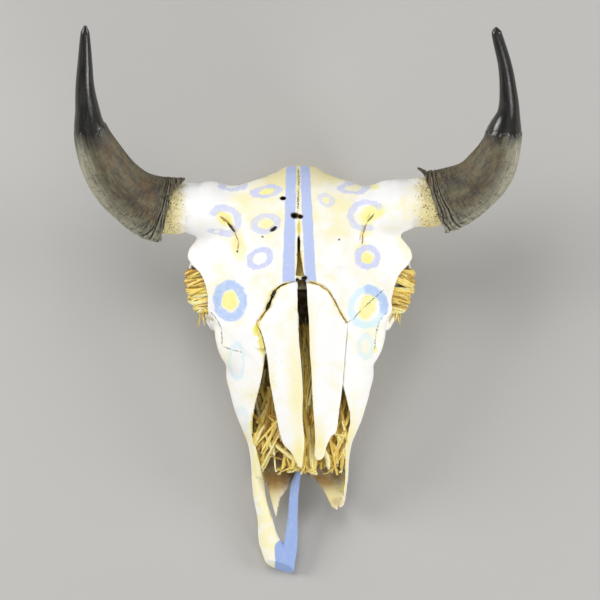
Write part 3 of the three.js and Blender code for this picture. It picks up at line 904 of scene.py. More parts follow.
    def hollows(self, block: Lattice) -> None:
        """Cut the eye sockets, the neck canal, the nose and the room of the nasal bones.

        Args:
            block: The lattice that the bone is carved in.
        """
        r, depth = self.orbit_mouth, self.orbit_depth
        socket = turned([(0, -depth), (r * 0.55, -depth * 0.88), (r * 0.88, -depth * 0.5), (r, -4),
                         (r * 1.02, 30), (0, 30)], self.orbit, self.orbit_out)
        for skin in (socket, socket.mirrored()):
            block.carve(skin, 3)
        canal = bar([(0, 96, -138), (0, 150, -142), (0, 200, -146)], lambda t: 18, lambda t: 17)
        block.carve(canal, 4)
        block.carve(Face.hollow())
        for nasal in NASALS:
            block.carve(nasal.room())

    def surface(self, block: Lattice) -> None:
        """Swells, furrows, holes and the midline suture of the forehead.

        Args:
            block: The lattice that the bone is carved in.
        """
        block.roughen(*SWELLS)
        block.roughen(*GRAIN)
        self.burr(block)
        for path, radius in FURROWS:
            block.groove(path, Profile(*radius))
        for (x, y), half in HOLES:
            block.carve(block.egg((x, y, float(Lines.roof(x, y)) - 2), half), 0.8)
        block.carve(prism(MIDLINE_GAP, -16, 30), 0.8)
        block.carve(prism(NASAL_GAP, -46, 30), 0.8)

    def burr(self, block: Lattice) -> None:
        """Rough, pitted bone round the horn cores.

        Args:
            block: The lattice that the bone is carved in.
        """
        reach = smooth_step(np.abs(block.x), 138, 158) * smooth_step(block.y, 70, 84)
        rough = 1.1 * block.noise(7, 13) + 0.9 * block.noise(4.5, 14)
        block.values = block.values + (reach * rough * 0.6).astype(np.float32)


FURROWS = (
    (((-104, 112), (-95, 103), (-86, 90)), ((0, 1.0), (0.7, 2.6), (1, 3.2))),
    (((-86, 90), (-83, 78), (-82.5, 66)), ((0, 2.2), (0.4, 1.4), (1, 0.6))),
    (((95, 117), (88, 106)), ((0, 1.0), (0.6, 2.4), (1, 1.6))),
    (((85, 99), (80.5, 82), (80, 70)), ((0, 2.6), (0.5, 1.8), (1, 0.7))),
    (((-40, 91.5), (-36, 95), (-31.5, 98)), ((0, 3.2), (0.6, 2.6), (1, 1.2))),
    (((-2, 178), (-1.6, 150), (-3, 118)), ((0, 1.2), (0.8, 1.5), (1, 1.5))),
    (((-2, 106), (-1.5, 92), (-1.6, 78)), ((0, 2.4), (0.6, 2.0), (1, 1.6))),
    (((-20, 22), (-28, 17), (-33, 10), (-37, 0), (-41, -9), (-48, -17)),
     ((0, 0.8), (0.3, 1.9), (0.6, 3.4), (0.8, 2.8), (1, 1.2))),
)
HOLES = (
    ((-22.5, 135.7), (4.6, 2.8, 9)), ((-6.5, 112.4), (6.2, 4.4, 11)), ((0.5, 111.0), (4.2, 3.2, 8)),
    ((-3.6, 26.5), (2.8, 3.2, 9)), ((5.6, 29.7), (4.6, 3.2, 9)),
)
MIDLINE_GAP = ((-3.6, 84), (-0.2, 84), (0.4, 58), (3.8, 44), (5.4, 32), (-6.2, 32), (-4.4, 46), (-3.6, 58))
NASAL_GAP = ((-3.0, 27), (-2.5, 10), (-1.5, -45), (0, -140), (18, -140), (13.5, -45), (10, 10), (7.5, 27))


def floor_block() -> Skin:
    """Everything under the floor, in the face frame.

    Returns:
        The closed skin.
    """
    near, far = -500.0, 400.0
    return prism([(near, FACE.floor_level(near)), (far, FACE.floor_level(far)),
                  (far, FACE.floor_level(far) - 400), (near, FACE.floor_level(near) - 400)], -400, 400, "X")


@dataclass
class Nasal(Bone):
    """A nasal bone: a long arched plate."""

    side: Side = Side.RIGHT
    front: float = -224.0
    back: float = 24.0
    medial: Profile = field(default_factory=Profile)
    lateral: Profile = field(default_factory=Profile)
    step: float = 1.3
    clearance: float = 0.5

    def room(self) -> Skin:
        """The room that the bone lies in, open above."""
        return self.plate(self.clearance, 14.0)

    def plate(self, grow: float = 0.0, raised: float = 0.0) -> Skin:
        """The bone as a plate that follows the roof of the nose.

        Args:
            grow: How far it is grown on every side.
            raised: How much higher its top lies.

        Returns:
            The closed skin.
        """
        y = np.linspace(self.front, self.back, 120)
        side = np.sign(self.lateral(0.0) - self.medial(0.0))
        inner = self.medial(y) - side * grow
        outer = self.lateral(y) + side * grow
        across = np.linspace(0, 1, 15)
        x = inner[:, None] + (outer - inner)[:, None] * across
        yy = np.broadcast_to(y[:, None], x.shape).copy()
        yy[0] -= grow
        yy[-1] += grow
        roof = Lines.roof(x, y[:, None])
        top = np.stack([x, yy, roof + raised + 0.8 * (1 - (2 * across - 1) ** 4)], -1)
        bottom = np.stack([x, yy, roof - Lines.nasal_thickness - grow], -1)
        return loft(np.concatenate([top, bottom[:, ::-1]], 1))

    def carved(self) -> Lattice:
        """The whole bone, carved.

        Returns:
            The lattice that holds it.
        """
        low = (min(self.lateral.value.min(), self.medial.value.min()) - 6, self.front - 6, -75)
        high = (max(self.lateral.value.max(), self.medial.value.max()) + 6, self.back + 6, 10)
        block = Lattice(low, high, self.step)
        block.add(self.plate())
        block.values = block.blurred(1)
        block.roughen(*SWELLS)
        block.roughen(*GRAIN)
        return block


NASALS = (
    Nasal("nasal_bone_right", ("nasal_right",), side=Side.RIGHT, front=-224, back=24,
          medial=Profile((-224, 3), (-190, 6), (-150, 3), (-120, 3.5), (-45, -2), (24, -4)),
          lateral=Profile((-224, -2), (-204, -12), (-190, -24), (-153, -32.3), (-119.5, -38.4), (-76, -44.7),
                          (-41, -53), (-31.6, -58), (-16, -46.5), (-4, -38.5), (11.5, -33), (20, -23),
                          (24, -9))),
    Nasal("nasal_bone_left", ("nasal_left",), side=Side.LEFT, front=-215, back=23,
          medial=Profile((-215, 22), (-209, 18.7), (-187, 19.6), (-140, 17.6), (-104, 15.7), (-56, 12.9),
                         (23, 9)),
          lateral=Profile((-215, 26), (-211, 31.5), (-196, 35.5), (-181, 43), (-178, 48), (-150, 52.3),
                          (-112, 57), (-83, 59.3), (-53, 62), (-32, 63.5), (-22, 56.5), (-3, 48), (6, 42.3),
                          (16, 36), (21, 24.4), (23, 14))),
)


@dataclass
class Maxilla(Bone):
    """The upper jaw of one side, with its half of the palate."""

    side: Side = Side.RIGHT
    step: float = 1.6
    wall_start: float = -66.0
    wall_top: tuple[tuple[float, float], ...] = (
        (-66, -8), (-110, -18), (-160, -42), (-200, -57), (-240, -68), (-330, -82))
    opening: tuple[tuple[float, float], ...] = ()
    front_end: tuple[tuple[float, float], ...] = ()

    def carved(self) -> Lattice:
        """The whole bone, carved.

        Returns:
            The lattice that holds it.
        """
        sign = self.side.value
        low = (-4 if sign > 0 else -124, -300, -215)
        high = (124 if sign > 0 else 4, -22, 0)
        block = Lattice(low, high, self.step)
        block.add(Face.block(-292, 10))
        block.add(Cranium().shield(), 10)
        block.add(block.egg((sign * 84, -98, -104), (15, 26, 12)), 8)
        Face.cheek(block, sign)
        block.carve(Face.hollow(), 2)
        lid = [point for point in self.wall_top if point[0] < self.wall_start]
        outline = [(self.wall_start, -18), *lid, (-330, 60), (self.wall_start, 60)]
        span = (8, 200) if sign > 0 else (-200, -8)
        block.carve(prism(outline, *span, "X"), 2)
        opening = Lattice(low, high, self.step)
        opening.add(prism(self.opening, -140, 60))
        opening.carve((block.z - Lines.palate_top(block.y)).astype(np.float32) + 0 * block.x)
        block.carve(opening.values, 2)
        block.carve(block.egg((sign * 84, -140, -112), (9, 7, 5)), 2)
        block.roughen(*SWELLS)
        block.roughen(*GRAIN)
        Face.dip(block, 1)
        block.keep(Face.before_suture(-Face.lap))
        block.carve(prism(NASAL_GAP, -60, 30), 0.8)
        block.keep(prism(self.front_end, -300, 100))
        for nasal in NASALS:
            block.carve(nasal.room())
        block.carve(floor_block())
        return block


MAXILLAE = (
    Maxilla("maxilla_bone_right", ("maxilla_right",), side=Side.RIGHT, wall_start=-66,
            opening=((-46, -73), (-50, -98), (-57, -130), (-63.6, -159), (-64.4, -181), (-58.5, -199),
                     (-53, -222), (-48.5, -240), (-43, -320), (10, -320), (10, -66), (-20, -64)),
            front_end=((-1, -222), (-11.7, -244), (-17.6, -255.5), (-26.3, -267), (-29, -280), (-32, -293),
                       (-37, -276), (-45, -246), (-52, -240), (-74, -236), (-160, -180), (-160, 60),
                       (-1, 60))),
    Maxilla("maxilla_bone_left", ("maxilla_left",), side=Side.LEFT, wall_start=-106,
            opening=((-10, -320), (54, -320), (60.7, -233), (59.7, -198), (67, -163), (66, -150), (57, -112),
                     (10, -66), (-10, -64)),
            front_end=((1, -226), (12, -238), (21.5, -242), (31.7, -256), (43, -279), (50, -283), (58, -277),
                       (65, -269), (74, -240), (160, -180), (160, 60), (1, 60))),
)


@dataclass
class CheekTeeth(Bone):
    """The row of six cheek teeth of one side."""

    side: Side = Side.RIGHT
    step: float = 1.2
    row_front: float = -206.0
    inset: float = 14.0
    crowns: tuple[tuple[float, float], ...] = ((17, 17), (19, 20), (19, 22), (26, 26), (31, 28), (31, 28))

    def carved(self) -> Lattice:
        """The whole row, carved.

        Returns:
            The lattice that holds it.
        """
        sign = self.side.value
        low = (40 if sign > 0 else -78, -212, -190)
        high = (78 if sign > 0 else -40, -52, -118)
        block = Lattice(low, high, self.step)
        y = self.row_front
        for length, width in self.crowns:
            middle = y + length / 2
            x = sign * (float(Lines.alveolar_half(middle)) - self.inset)
            lobes = 1 if length < 22 else 2
            for lobe in range(lobes):
                centre = y + length * (lobe + 0.5) / lobes
                half = (width / 2 - 1.5, length / lobes / 2 + 0.6)
                angle = ring_angles(40)
                rings = [np.stack([x + half[0] * s * power(np.cos(angle), 0.75),
                                   centre + half[1] * s * power(np.sin(angle), 0.75), np.full(40, z)], -1)
                         for z, s in ((FACE.floor_level(centre) - 6, 1.0), (Lines.palate(centre) - 2, 0.97),
                                      (Lines.palate(centre) + 8, 0.9))]
                block.add(loft(np.array(rings)), 1.2)
            y += length
        block.roughen(0.25, 5, 61 + sign)
        block.carve(floor_block())
        return block


@dataclass
class Premaxilla(Bone):
    """The one premaxilla that is left: an outer bar, a flat body and the painted inner bar."""

    name: str = "premaxilla_bone_right"
    replaces: tuple[str, ...] = ("premaxilla_right",)
    step: float = 1.2
    overlap: float = 1.2

    def carved(self) -> Lattice:
        """The whole bone, carved.

        Returns:
            The lattice that holds it.
        """
        block = Lattice((-84, -385, -125), (14, -215, -65), self.step)
        block.add(bar([(-58.7, -225, -98), (-53.5, -268, -96), (-47, -297, -95), (-42.5, -322, -94.5),
                       (-33, -345, -94.5), (-24, -372, -94.5)],
                      Profile((0, 8), (0.28, 9), (0.48, 11.5), (0.66, 14.5), (0.82, 16), (1, 12)),
                      Profile((0, 20), (0.2, 16), (0.45, 11), (0.65, 9), (1, 8))))
        block.add(bar([(-2, -229, -88), (-7.2, -254, -90), (-9.8, -290, -92), (-12, -325, -94.5),
                       (-17, -352, -94.5), (-19, -372, -94.5)],
                      Profile((0, 4.4), (0.2, 5.9), (0.45, 6.9), (0.7, 10), (0.88, 10.5), (1, 10)),
                      Profile((0, 4), (0.3, 6), (0.6, 7), (1, 8))), 3)
        room = [(x + self.overlap, y + self.overlap) for x, y in MAXILLAE[0].front_end]
        block.carve(prism(room, -300, 100))
        turn = Matrix.Rotation(-0.3, 3, "Z") @ Matrix.Rotation(-0.6, 3, "X")
        normal = np.array(turn @ Vector((0, -1, 0)))
        slant = ((block.x + 20) * normal[0] + (block.y + 362) * normal[1] + (block.z + 94.5) * normal[2])
        block.carve(-slant.astype(np.float32), 1.5)
        block.roughen(0.3, 16, 71)
        block.roughen(0.15, 6, 72)
        return block


# Horn sheaths


@dataclass
class HornSheath:
    """A hollow sheath of horn, with its layers, growth rings and ragged edge."""

    side: Side
    middle: tuple[tuple[float, float], ...]
    half: tuple[float, ...]
    tip: tuple[float, float]
    skullward: tuple[float, float]
    edge: Profile
    layer_end: float
    seed: int
    rise: float = 0.6
    root: tuple[float, float] = (120.0, -44.0)
    flare: float = 3.0
    station_gap: float = 24.0
    hollow_end: float = 1.9
    flatness: float = 0.94
    cracks: tuple[tuple[float, float], ...] = ()
    thickness: tuple[float, float] = (0.80, 0.93)
    around: int = 220
    along: int = 400
    inside: int = 40

    def _line(self, place: Array) -> Array:
        """Points of the horn's middle line; place 0 is the edge, and a station is 1 further on.

        Args:
            place: Places along the horn.

        Returns:
            An (n, 3) array of millimetres.
        """
        flat = np.array([self.skullward, *self.middle, self.tip], float)
        level = self.root[1] + self.rise * (flat[:, 1] - self.root[0])
        stations = np.column_stack([flat, level])
        return smooth_path(stations, (place + 1) / (len(stations) - 1))

    def _relief(self, place: Array, angle: Array) -> Array:
        """How far the surface stands proud of the plain horn, in millimetres.

        Args:
            place: Places along the horn.
            angle: Places round it.

        Returns:
            One height for each place.
        """
        waves = RingNoise(self.seed)
        base = 1 - smooth_step(place, 0.5, 1.9)
        sway = waves(place * 0.8, angle, 3)
        step = np.mod(place * 4.6 + 0.7 * sway + 0.25 * waves(place * 3, angle, 15), 1.0)
        terraces = base * 0.7 * (step**2 - 0.4)
        splits = np.exp(-(waves(place * 1.4, angle, 24) / 0.10) ** 2)
        checks = np.exp(-(waves(place * 7, angle, 9) / 0.09) ** 2)
        flakes = 0.4 * waves(place * 11, angle, 36) + 0.3 * waves(place * 22, angle, 80)
        rough = base * (flakes - 0.6 * splits - 0.8 * checks)
        from_crest = np.minimum(angle, 2 * math.pi - angle) / math.pi
        for crest_side, outer_side in self.cracks:
            line = crest_side + (outer_side - crest_side) * from_crest
            past = place - line - 0.07 * waves(place * 2, angle, 17)
            rough = rough - 2.2 * np.exp(-((past / 0.045) ** 2))
            rough = rough + 0.6 * np.exp(-(((past + 0.12) / 0.1) ** 2))
        end = self.layer_line(angle)
        layer = 0.7 * (1 - smooth_step(place, end - 0.06, end + 0.06))
        lip = 0.35 * np.exp(-((place - end + 0.12) / 0.16) ** 2) * (place < end)
        lip = lip * (1 + waves(place * 6, angle, 33))
        fibres = 0.12 * waves(place * 0.5, angle, 61) + 0.12 * waves(place * 2, angle, 37) + 0.06 * waves(
            place * 12, angle, 70)
        fibres = fibres * (1 - 0.96 * smooth_step(place, self.layer_end - 0.2, self.layer_end + 0.4))
        swell = 0.4 * waves(place * 0.9, angle, 5)
        return terraces + rough + layer + lip + fibres + swell - 1.0

    def layer_line(self, angle: Array) -> Array:
        """Where the outer layer has worn away, as places along the horn.

        Args:
            angle: Places round the horn.

        Returns:
            One place along the horn for each.
        """
        waves = RingNoise(self.seed + 2)
        still = 0 * angle
        return self.layer_end + 0.22 * waves(still, angle, 5) + 0.14 * waves(still, angle, 19) + 0.1 * waves(
            still, angle, 47)

    def build(self, finish: bpy.types.Material) -> None:
        """Make the sheath and dress it.

        Args:
            finish: The horn's material.
        """
        angle = ring_angles(self.around)
        last = float(len(self.middle))
        ragged = RingNoise(self.seed + 1)
        from_crest = np.minimum(angle, 2 * math.pi - angle) / math.pi
        start = 0.06 * ragged(0 * angle, angle, 19) * (from_crest > 0.08)
        start = start - self.edge(from_crest) / self.station_gap
        inner = np.linspace(self.hollow_end, 0, self.inside)[:, None]
        outer = (np.linspace(0, 1, self.along) ** 0.92)[:, None]
        inner_place = start + (inner / self.hollow_end) * (self.hollow_end - start)
        outer_place = start + outer * (last - start)
        place = np.vstack([inner_place, outer_place])
        turn = np.broadcast_to(angle, place.shape)
        width = Profile((-1, self.half[0] * 0.98), *((i, h) for i, h in enumerate(self.half)), (last, 2.2))
        size = width(place)
        size += self.flare * np.maximum(0, -place) * np.exp(-((from_crest / 0.06) ** 2))
        size[:self.inside] *= np.linspace(*self.thickness, self.inside)[:, None]
        relief = self._relief(outer_place, turn[self.inside:])
        plain = size[self.inside:].copy()
        size[self.inside:] += np.maximum(relief * np.minimum(1, plain / 12), -0.05 * plain)
        middle = self._line(place.ravel()).reshape(*place.shape, 3)
        ahead = self._line((place + 0.02).ravel()) - self._line((place - 0.02).ravel())
        ahead = ahead.reshape(*place.shape, 3)
        upright = np.array(Vector((0, -self.rise, 1)).normalized())
        ahead -= upright * (ahead @ upright)[..., None]
        ahead /= np.linalg.norm(ahead, axis=-1, keepdims=True)
        across = np.cross(ahead, upright) * -self.side.value
        in_face = np.hypot(across[..., 0], across[..., 1])[..., None]
        points = (middle + across / in_face * (size * np.cos(turn))[..., None]
                  + upright * (size * self.flatness * np.sin(turn))[..., None])
        skin = loft(points)
        piece = mesh_object(f"horn_sheath_{self.side.label}_keratin", FACE.to_row(skin.points),
                            *outward(skin))
        ends = np.array([[self.hollow_end, 0.0], [last, 0.0]])
        where = np.vstack([np.column_stack([place.ravel(), turn.ravel()]), ends])
        grain = np.column_stack([np.cos(where[:, 1]), np.sin(where[:, 1]), where[:, 0] / last])
        store(piece, "grain", grain, "FLOAT_VECTOR")
        past = smooth_step(outer_place - self.layer_line(angle), -0.75, 0.2)
        # How far each spot lies below its neighbours; the finish paints shade into the hollows from it, and
        # pale wear onto the ridges.
        hollow = (softened(relief, 4, 3) - relief) / 0.8
        for name, values, last_value in (("tip_part", past, 1), ("hollow", hollow, 0)):
            store(piece, name, np.concatenate([np.zeros(inner_place.size), values.ravel(), [0, last_value]]))
        finish_piece(piece, (f"horn_sheath_{self.side.label}",), finish)


def softened(values: Array, rows: int, columns: int) -> Array:
    """Values over a horn's surface, each averaged with its neighbours.

    Args:
        values: One row for each ring of the horn.
        rows: How many rings to take on each side.
        columns: How many corners to take on each side.

    Returns:
        An array of the same shape.
    """
    across = sum(np.roll(values, k, 1) for k in range(-columns, columns + 1)) / (2 * columns + 1)
    padded = np.pad(across, ((rows, rows), (0, 0)), mode="edge")
    return sum(padded[k:k + len(values)] for k in range(2 * rows + 1)) / (2 * rows + 1)


class RingNoise:
    """Random waves over a horn, which meet where they come round."""

    def __init__(self, seed: int) -> None:
        """Start the draw, fixed by a seed."""
        self.random = np.random.default_rng(seed)

    def __call__(self, place: Array, angle: Array, count: int) -> Array:
        """Values between about -1 and 1.

        Args:
            place: Places along the horn, one wave to a unit.
            angle: Places round it.
            count: The number of waves round the horn.

        Returns:
            One value for each place.
        """
        rows = 64
        table = self.random.uniform(-1, 1, (rows, count))
        u = np.mod(place, rows - 1)
        v = np.mod(angle / (2 * math.pi) * count, count)
        i, j = np.floor(u).astype(int), np.floor(v).astype(int)
        s, r = u - i, v - j
        s, r = s * s * (3 - 2 * s), r * r * (3 - 2 * r)
        i2, j2, j = (i + 1) % rows, (j + 1) % count, j % count
        near = table[i, j] * (1 - r) + table[i, j2] * r
        far = table[i2, j] * (1 - r) + table[i2, j2] * r
        return near * (1 - s) + far * s


def smooth_step(value: Any, low: float, high: float) -> Any:
    """A soft rise from 0 at low to 1 at high."""
    s = np.clip((value - low) / (high - low), 0, 1)
    return s * s * (3 - 2 * s)


def outward(skin: Skin) -> tuple[Array, Array]:
    """A skin's quads and triangles, turned so that they face outwards.

    Args:
        skin: The skin.

    Returns:
        Its quads and its triangles.
    """
    p, q = skin.points, skin.quads
    volume = (np.einsum("ij,ij->", p[q[:, 0]], np.cross(p[q[:, 1]], p[q[:, 2]]))
              + np.einsum("ij,ij->", p[q[:, 0]], np.cross(p[q[:, 2]], p[q[:, 3]])))
    step = 1 if volume > 0 else -1
    return skin.quads[:, ::step], skin.triangles[:, ::step]


HORNS = (
    HornSheath(Side.RIGHT, ((-179, 120.5), (-197.5, 124.5), (-225, 139.5), (-246.7, 160), (-264, 188),
                            (-279.5, 228.5), (-282.3, 251), (-285, 282.5), (-284.3, 316), (-283.5, 353)),
               (40.5, 40, 36, 34.3, 31, 22.4, 17.5, 13.4, 10.2, 6.2), (-283.2, 361), (-150, 121),
               Profile((0, 22.5), (0.05, 19), (0.1, 13), (0.2, 5), (0.35, 0), (0.5, -2), (1, -5)), 4.9, 3,
               cracks=((0.1, 1.25), (0.35, 0.75))),
    HornSheath(Side.LEFT, ((181, 130.5), (201.6, 136.1), (234.3, 153.9), (253.7, 175.3), (267, 202.8),
                           (272.5, 226.4), (277.2, 250.8), (275.6, 281.5), (271, 311), (259.2, 353)),
               (39.5, 38.7, 34.3, 33, 27.5, 23.6, 15.6, 11.9, 9.7, 7), (258.6, 359), (152, 128),
               Profile((0, 17), (0.03, 11), (0.07, 8), (0.15, 5), (0.3, -1), (0.5, -5), (0.7, -6), (1, -3)),
               5.1, 9, flare=15.0, cracks=((0.3, 0.5), (0.75, 1.0))),
)


# Dried grass


class Strands:
    """A set of stems, drawn as lines and made solid by Geometry Nodes."""

    blade_thickness: float = 0.5
    _group: bpy.types.NodeTree | None = None

    def __init__(self) -> None:
        """Start with no stems."""
        self.points: list[Array] = []
        self.girth: list[Array] = []
        self.shade: list[Array] = []

    def add(self, points: Array, girth: Array, shade: float) -> None:
        """Lay one stem.

        Args:
            points: Points of its line, in face-frame millimetres.
            girth: Its half width at each point.
            shade: How dark it is, from 0 to 1.
        """
        self.points.append(points)
        self.girth.append(girth)
        self.shade.append(np.full(len(points), shade))

    @classmethod
    def group(cls) -> bpy.types.NodeTree:
        """The node group that sweeps a flat blade along each line.

        Returns:
            The group, which is made once.
        """
        if cls._group:
            return cls._group
        tree = bpy.data.node_groups.new("grass_blades", "GeometryNodeTree")
        face = tree.interface
        face.new_socket("Geometry", in_out="INPUT", socket_type="NodeSocketGeometry")
        face.new_socket("Thickness", in_out="INPUT", socket_type="NodeSocketFloat")
        face.new_socket("Material", in_out="INPUT", socket_type="NodeSocketMaterial")
        face.new_socket("Geometry", in_out="OUTPUT", socket_type="NodeSocketGeometry")
        given = add_node(tree, "NodeGroupInput").outputs
        girth = add_node(tree, "GeometryNodeInputNamedAttribute", {"Name": "girth"}, data_type="FLOAT")
        curve = add_node(tree, "GeometryNodeMeshToCurve", {"Mesh": given["Geometry"]})
        sized = add_node(tree, "GeometryNodeSetCurveRadius",
                         {"Curve": curve.outputs[0], "Radius": girth.outputs["Attribute"]})
        blade = add_node(tree, "GeometryNodeCurvePrimitiveQuadrilateral",
                         {"Width": 2.0, "Height": given["Thickness"]})
        swept = add_node(tree, "GeometryNodeCurveToMesh",
                         {"Curve": sized.outputs[0], "Profile Curve": blade.outputs[0], "Fill Caps": True})
        if "Scale" in swept.inputs:
            tree.links.new(girth.outputs["Attribute"], swept.inputs["Scale"])
        real = add_node(tree, "GeometryNodeRealizeInstances", {"Geometry": swept.outputs[0]})
        dressed = add_node(tree, "GeometryNodeSetMaterial",
                           {"Geometry": real.outputs[0], "Material": given["Material"]})
        add_node(tree, "NodeGroupOutput", {0: dressed.outputs[0]})
        cls._group = tree
        return tree

    def build(self, name: str, node: str, finish: bpy.types.Material) -> None:
        """Make the stems solid and dress them.

        Args:
            name: The piece's name.
            node: The plain solid that it stands for.
            finish: The grass's material.
        """
        points = FACE.to_row(np.vstack(self.points))
        starts = np.cumsum([0] + [len(p) for p in self.points])
        edges = [(i, i + 1) for a, b in zip(starts, starts[1:]) for i in range(a, b - 1)]
        lines = bpy.data.meshes.new(name + "_lines")
        lines.from_pydata(points.tolist(), edges, [])
        draft = bpy.data.objects.new(name + "_lines", lines)
        bpy.context.scene.collection.objects.link(draft)
        store(draft, "girth", np.concatenate(self.girth) * MM)
        store(draft, "shade", np.concatenate(self.shade))
        modifier = draft.modifiers.new("blades", "NODES")
        modifier.node_group = self.group()
        sockets = {item.name: item.identifier for item in modifier.node_group.interface.items_tree
                   if item.in_out == "INPUT"}
        modifier[sockets["Thickness"]] = self.blade_thickness
        modifier[sockets["Material"]] = finish
        graph = bpy.context.evaluated_depsgraph_get()
        baked = bpy.data.meshes.new_from_object(draft.evaluated_get(graph), depsgraph=graph)
        bpy.data.objects.remove(draft)
        bpy.data.meshes.remove(lines)
        baked.name = name
        piece = bpy.data.objects.new(name, baked)
        bpy.context.scene.collection.objects.link(piece)
        finish_piece(piece, (node,), finish)


@dataclass
class OrbitGrass:
    """Bands of grass wound into a wad that swells out of an eye socket."""

    side: Side
    seed: int
    bands: int = 5
    stems: int = 52
    stray_ends: int = 22
    half_length: float = 29.0
    span: float = 31.0
    half_sweep: float = 1.45

    def build(self, finish: bpy.types.Material) -> None:
        """Wind the wad and dress it.

        Args:
            finish: The grass's material.
        """
        random = np.random.default_rng(self.seed)
        strands = Strands()
        cranium = Cranium()
        out = np.array(Vector(cranium.orbit_out).normalized())
        across = np.cross((0, 1, 0), out)
        across /= np.linalg.norm(across)
        along = np.cross(out, across)
        centre = np.array(cranium.orbit)
        mirror = np.array((self.side.value, 1, 1))
        sweep = np.linspace(-self.half_sweep, self.half_sweep, 15)
        share = sweep / self.half_sweep
        for band in range(self.bands):
            at = (band + 0.5) / self.bands * 2 - 1
            middle = at * self.half_length
            reach = math.sqrt(max(0.05, 1 - (middle / 33) ** 2))
            bow = (12.0 + 3.0 * random.random()) * reach
            lean = 9 * (random.random() - 0.3)
            thick = self.half_length / self.bands * 0.98
            for _ in range(self.stems):
                spin = random.uniform(0, 2 * math.pi)
                far = math.sqrt(random.random())
                twist = random.uniform(-1.2, 1.2) + 1.4
                phase = spin + twist * share
                proud = bow * np.cos(sweep) - 9 * np.abs(share) ** 3
                proud = proud + thick * far * np.sin(phase) * 0.8
                shift = middle + lean * share + thick * far * np.cos(phase)
                wide = self.span * reach * np.sin(sweep * 0.98)
                points = (centre + across * wide[:, None] + along * shift[:, None] + out * proud[:, None])
                girth = random.uniform(0.6, 1.5) * (1 - 0.35 * np.abs(share) ** 4)
                strands.add(points * mirror, girth, random.random())
        for _ in range(self.stray_ends):
            start = np.array((random.uniform(-20, 12), random.uniform(-29, -22), random.uniform(0, 8)))
            way = np.array((random.uniform(-0.5, 0.9), -1.0, random.uniform(-0.6, 0.3)))
            length = random.uniform(10, 22)
            t = np.linspace(0, 1, 7)[:, None]
            local = start + way * length * t + np.array((3, 0, -5)) * t * t * random.uniform(-1, 1)
            points = centre + local @ np.array((across, along, out))
            strands.add(points * mirror, 0.9 * (1 - 0.5 * t[:, 0]), random.random())
        label = self.side.label
        strands.build(f"orbit_grass_{label}", f"grass_orbit_{label}", finish)


@dataclass
class NoseGrass:
    """Long blades pushed into the nose, crossing each other."""

    seed: int = 5
    blades: int = 700
    upright_blades: int = 70
    along: tuple[float, float] = (-216.0, -62.0)
    front: float = -234.0
    hollow: tuple[float, float] = (-35.0, -219.0)
    hollow_radius: float = 8.5

    def build(self, finish: bpy.types.Material) -> None:
        """Lay the blades and dress them.

        Args:
            finish: The grass's material.
        """
        random = np.random.default_rng(self.seed)
        strands = Strands()
        for number in range(self.blades + self.upright_blades):
            upright = number >= self.blades
            y = random.uniform(*self.along)
            half = float(Lines.cavity_half(y)) + 1
            x = random.uniform(-6, 22) if upright else random.uniform(-half, half)
            depth = 1.0 if upright else random.random() ** 0.7
            z = float(Lines.palate_top(y)) + 8 + 46 * depth
            reach = random.uniform(24, 60) if upright else random.uniform(16, 46)
            heading = random.normal(0, 0.08 if upright else 0.55)
            way = np.array((math.sin(heading), math.cos(heading), random.normal(0, 0.10)))
            t = np.linspace(-1, 1, 9)[:, None]
            bend = np.array((random.normal(0, 4), 0, random.normal(0, 3)))
            points = np.array((x, y, z)) + way * reach * t + bend * (1 - t * t)
            room = Lines.cavity_half(points[:, 1]) + 4
            points[:, 0] = np.clip(points[:, 0], -room, room)
            points[:, 1] = np.maximum(points[:, 1], self.front + 10 * random.random())
            roof = Lines.roof(points[:, 0], points[:, 1]) - 11
            points[:, 2] = np.clip(points[:, 2], Lines.palate_top(points[:, 1]) + 1, roof)
            girth = random.uniform(0.8, 3.2) * (1 - 0.45 * np.abs(t[:, 0]) ** 3)
            shade = random.random()
            apart = np.hypot(*(points[:, :2] - self.hollow).T).min()
            if apart > self.hollow_radius or shade > 0.93:
                strands.add(points, girth, shade)
        strands.build("nose_grass", "grass_nose", finish)


# Finishes


def add_node(tree: bpy.types.NodeTree, kind: str, inputs: Mapping[Any, Any] | None = None,
             **settings: Any) -> Any:
    """Add a node with its settings and links.

    Args:
        tree: The tree that it goes into.
        kind: The node's type name.
        inputs: For each input, by name or number, a value or the socket that feeds it.
        settings: The node's own properties.

    Returns:
        The new node.
    """
    made = tree.nodes.new(kind)
    for name, value in settings.items():
        setattr(made, name, value)
    for key, value in (inputs or {}).items():
        if isinstance(value, bpy.types.NodeSocket):
            tree.links.new(value, made.inputs[key])
        else:
            made.inputs[key].default_value = value
    return made


def colour(code: str) -> tuple[float, float, float, float]:
    """An sRGB hex colour as linear values.

    Args:
        code: The colour, as #rrggbb.

    Returns:
        Red, green, blue and alpha.
    """
    parts = [int(code[i:i + 2], 16) / 255 for i in (1, 3, 5)]
    linear = [p / 12.92 if p <= 0.04045 else ((p + 0.055) / 1.055) ** 2.4 for p in parts]
    return (*linear, 1.0)


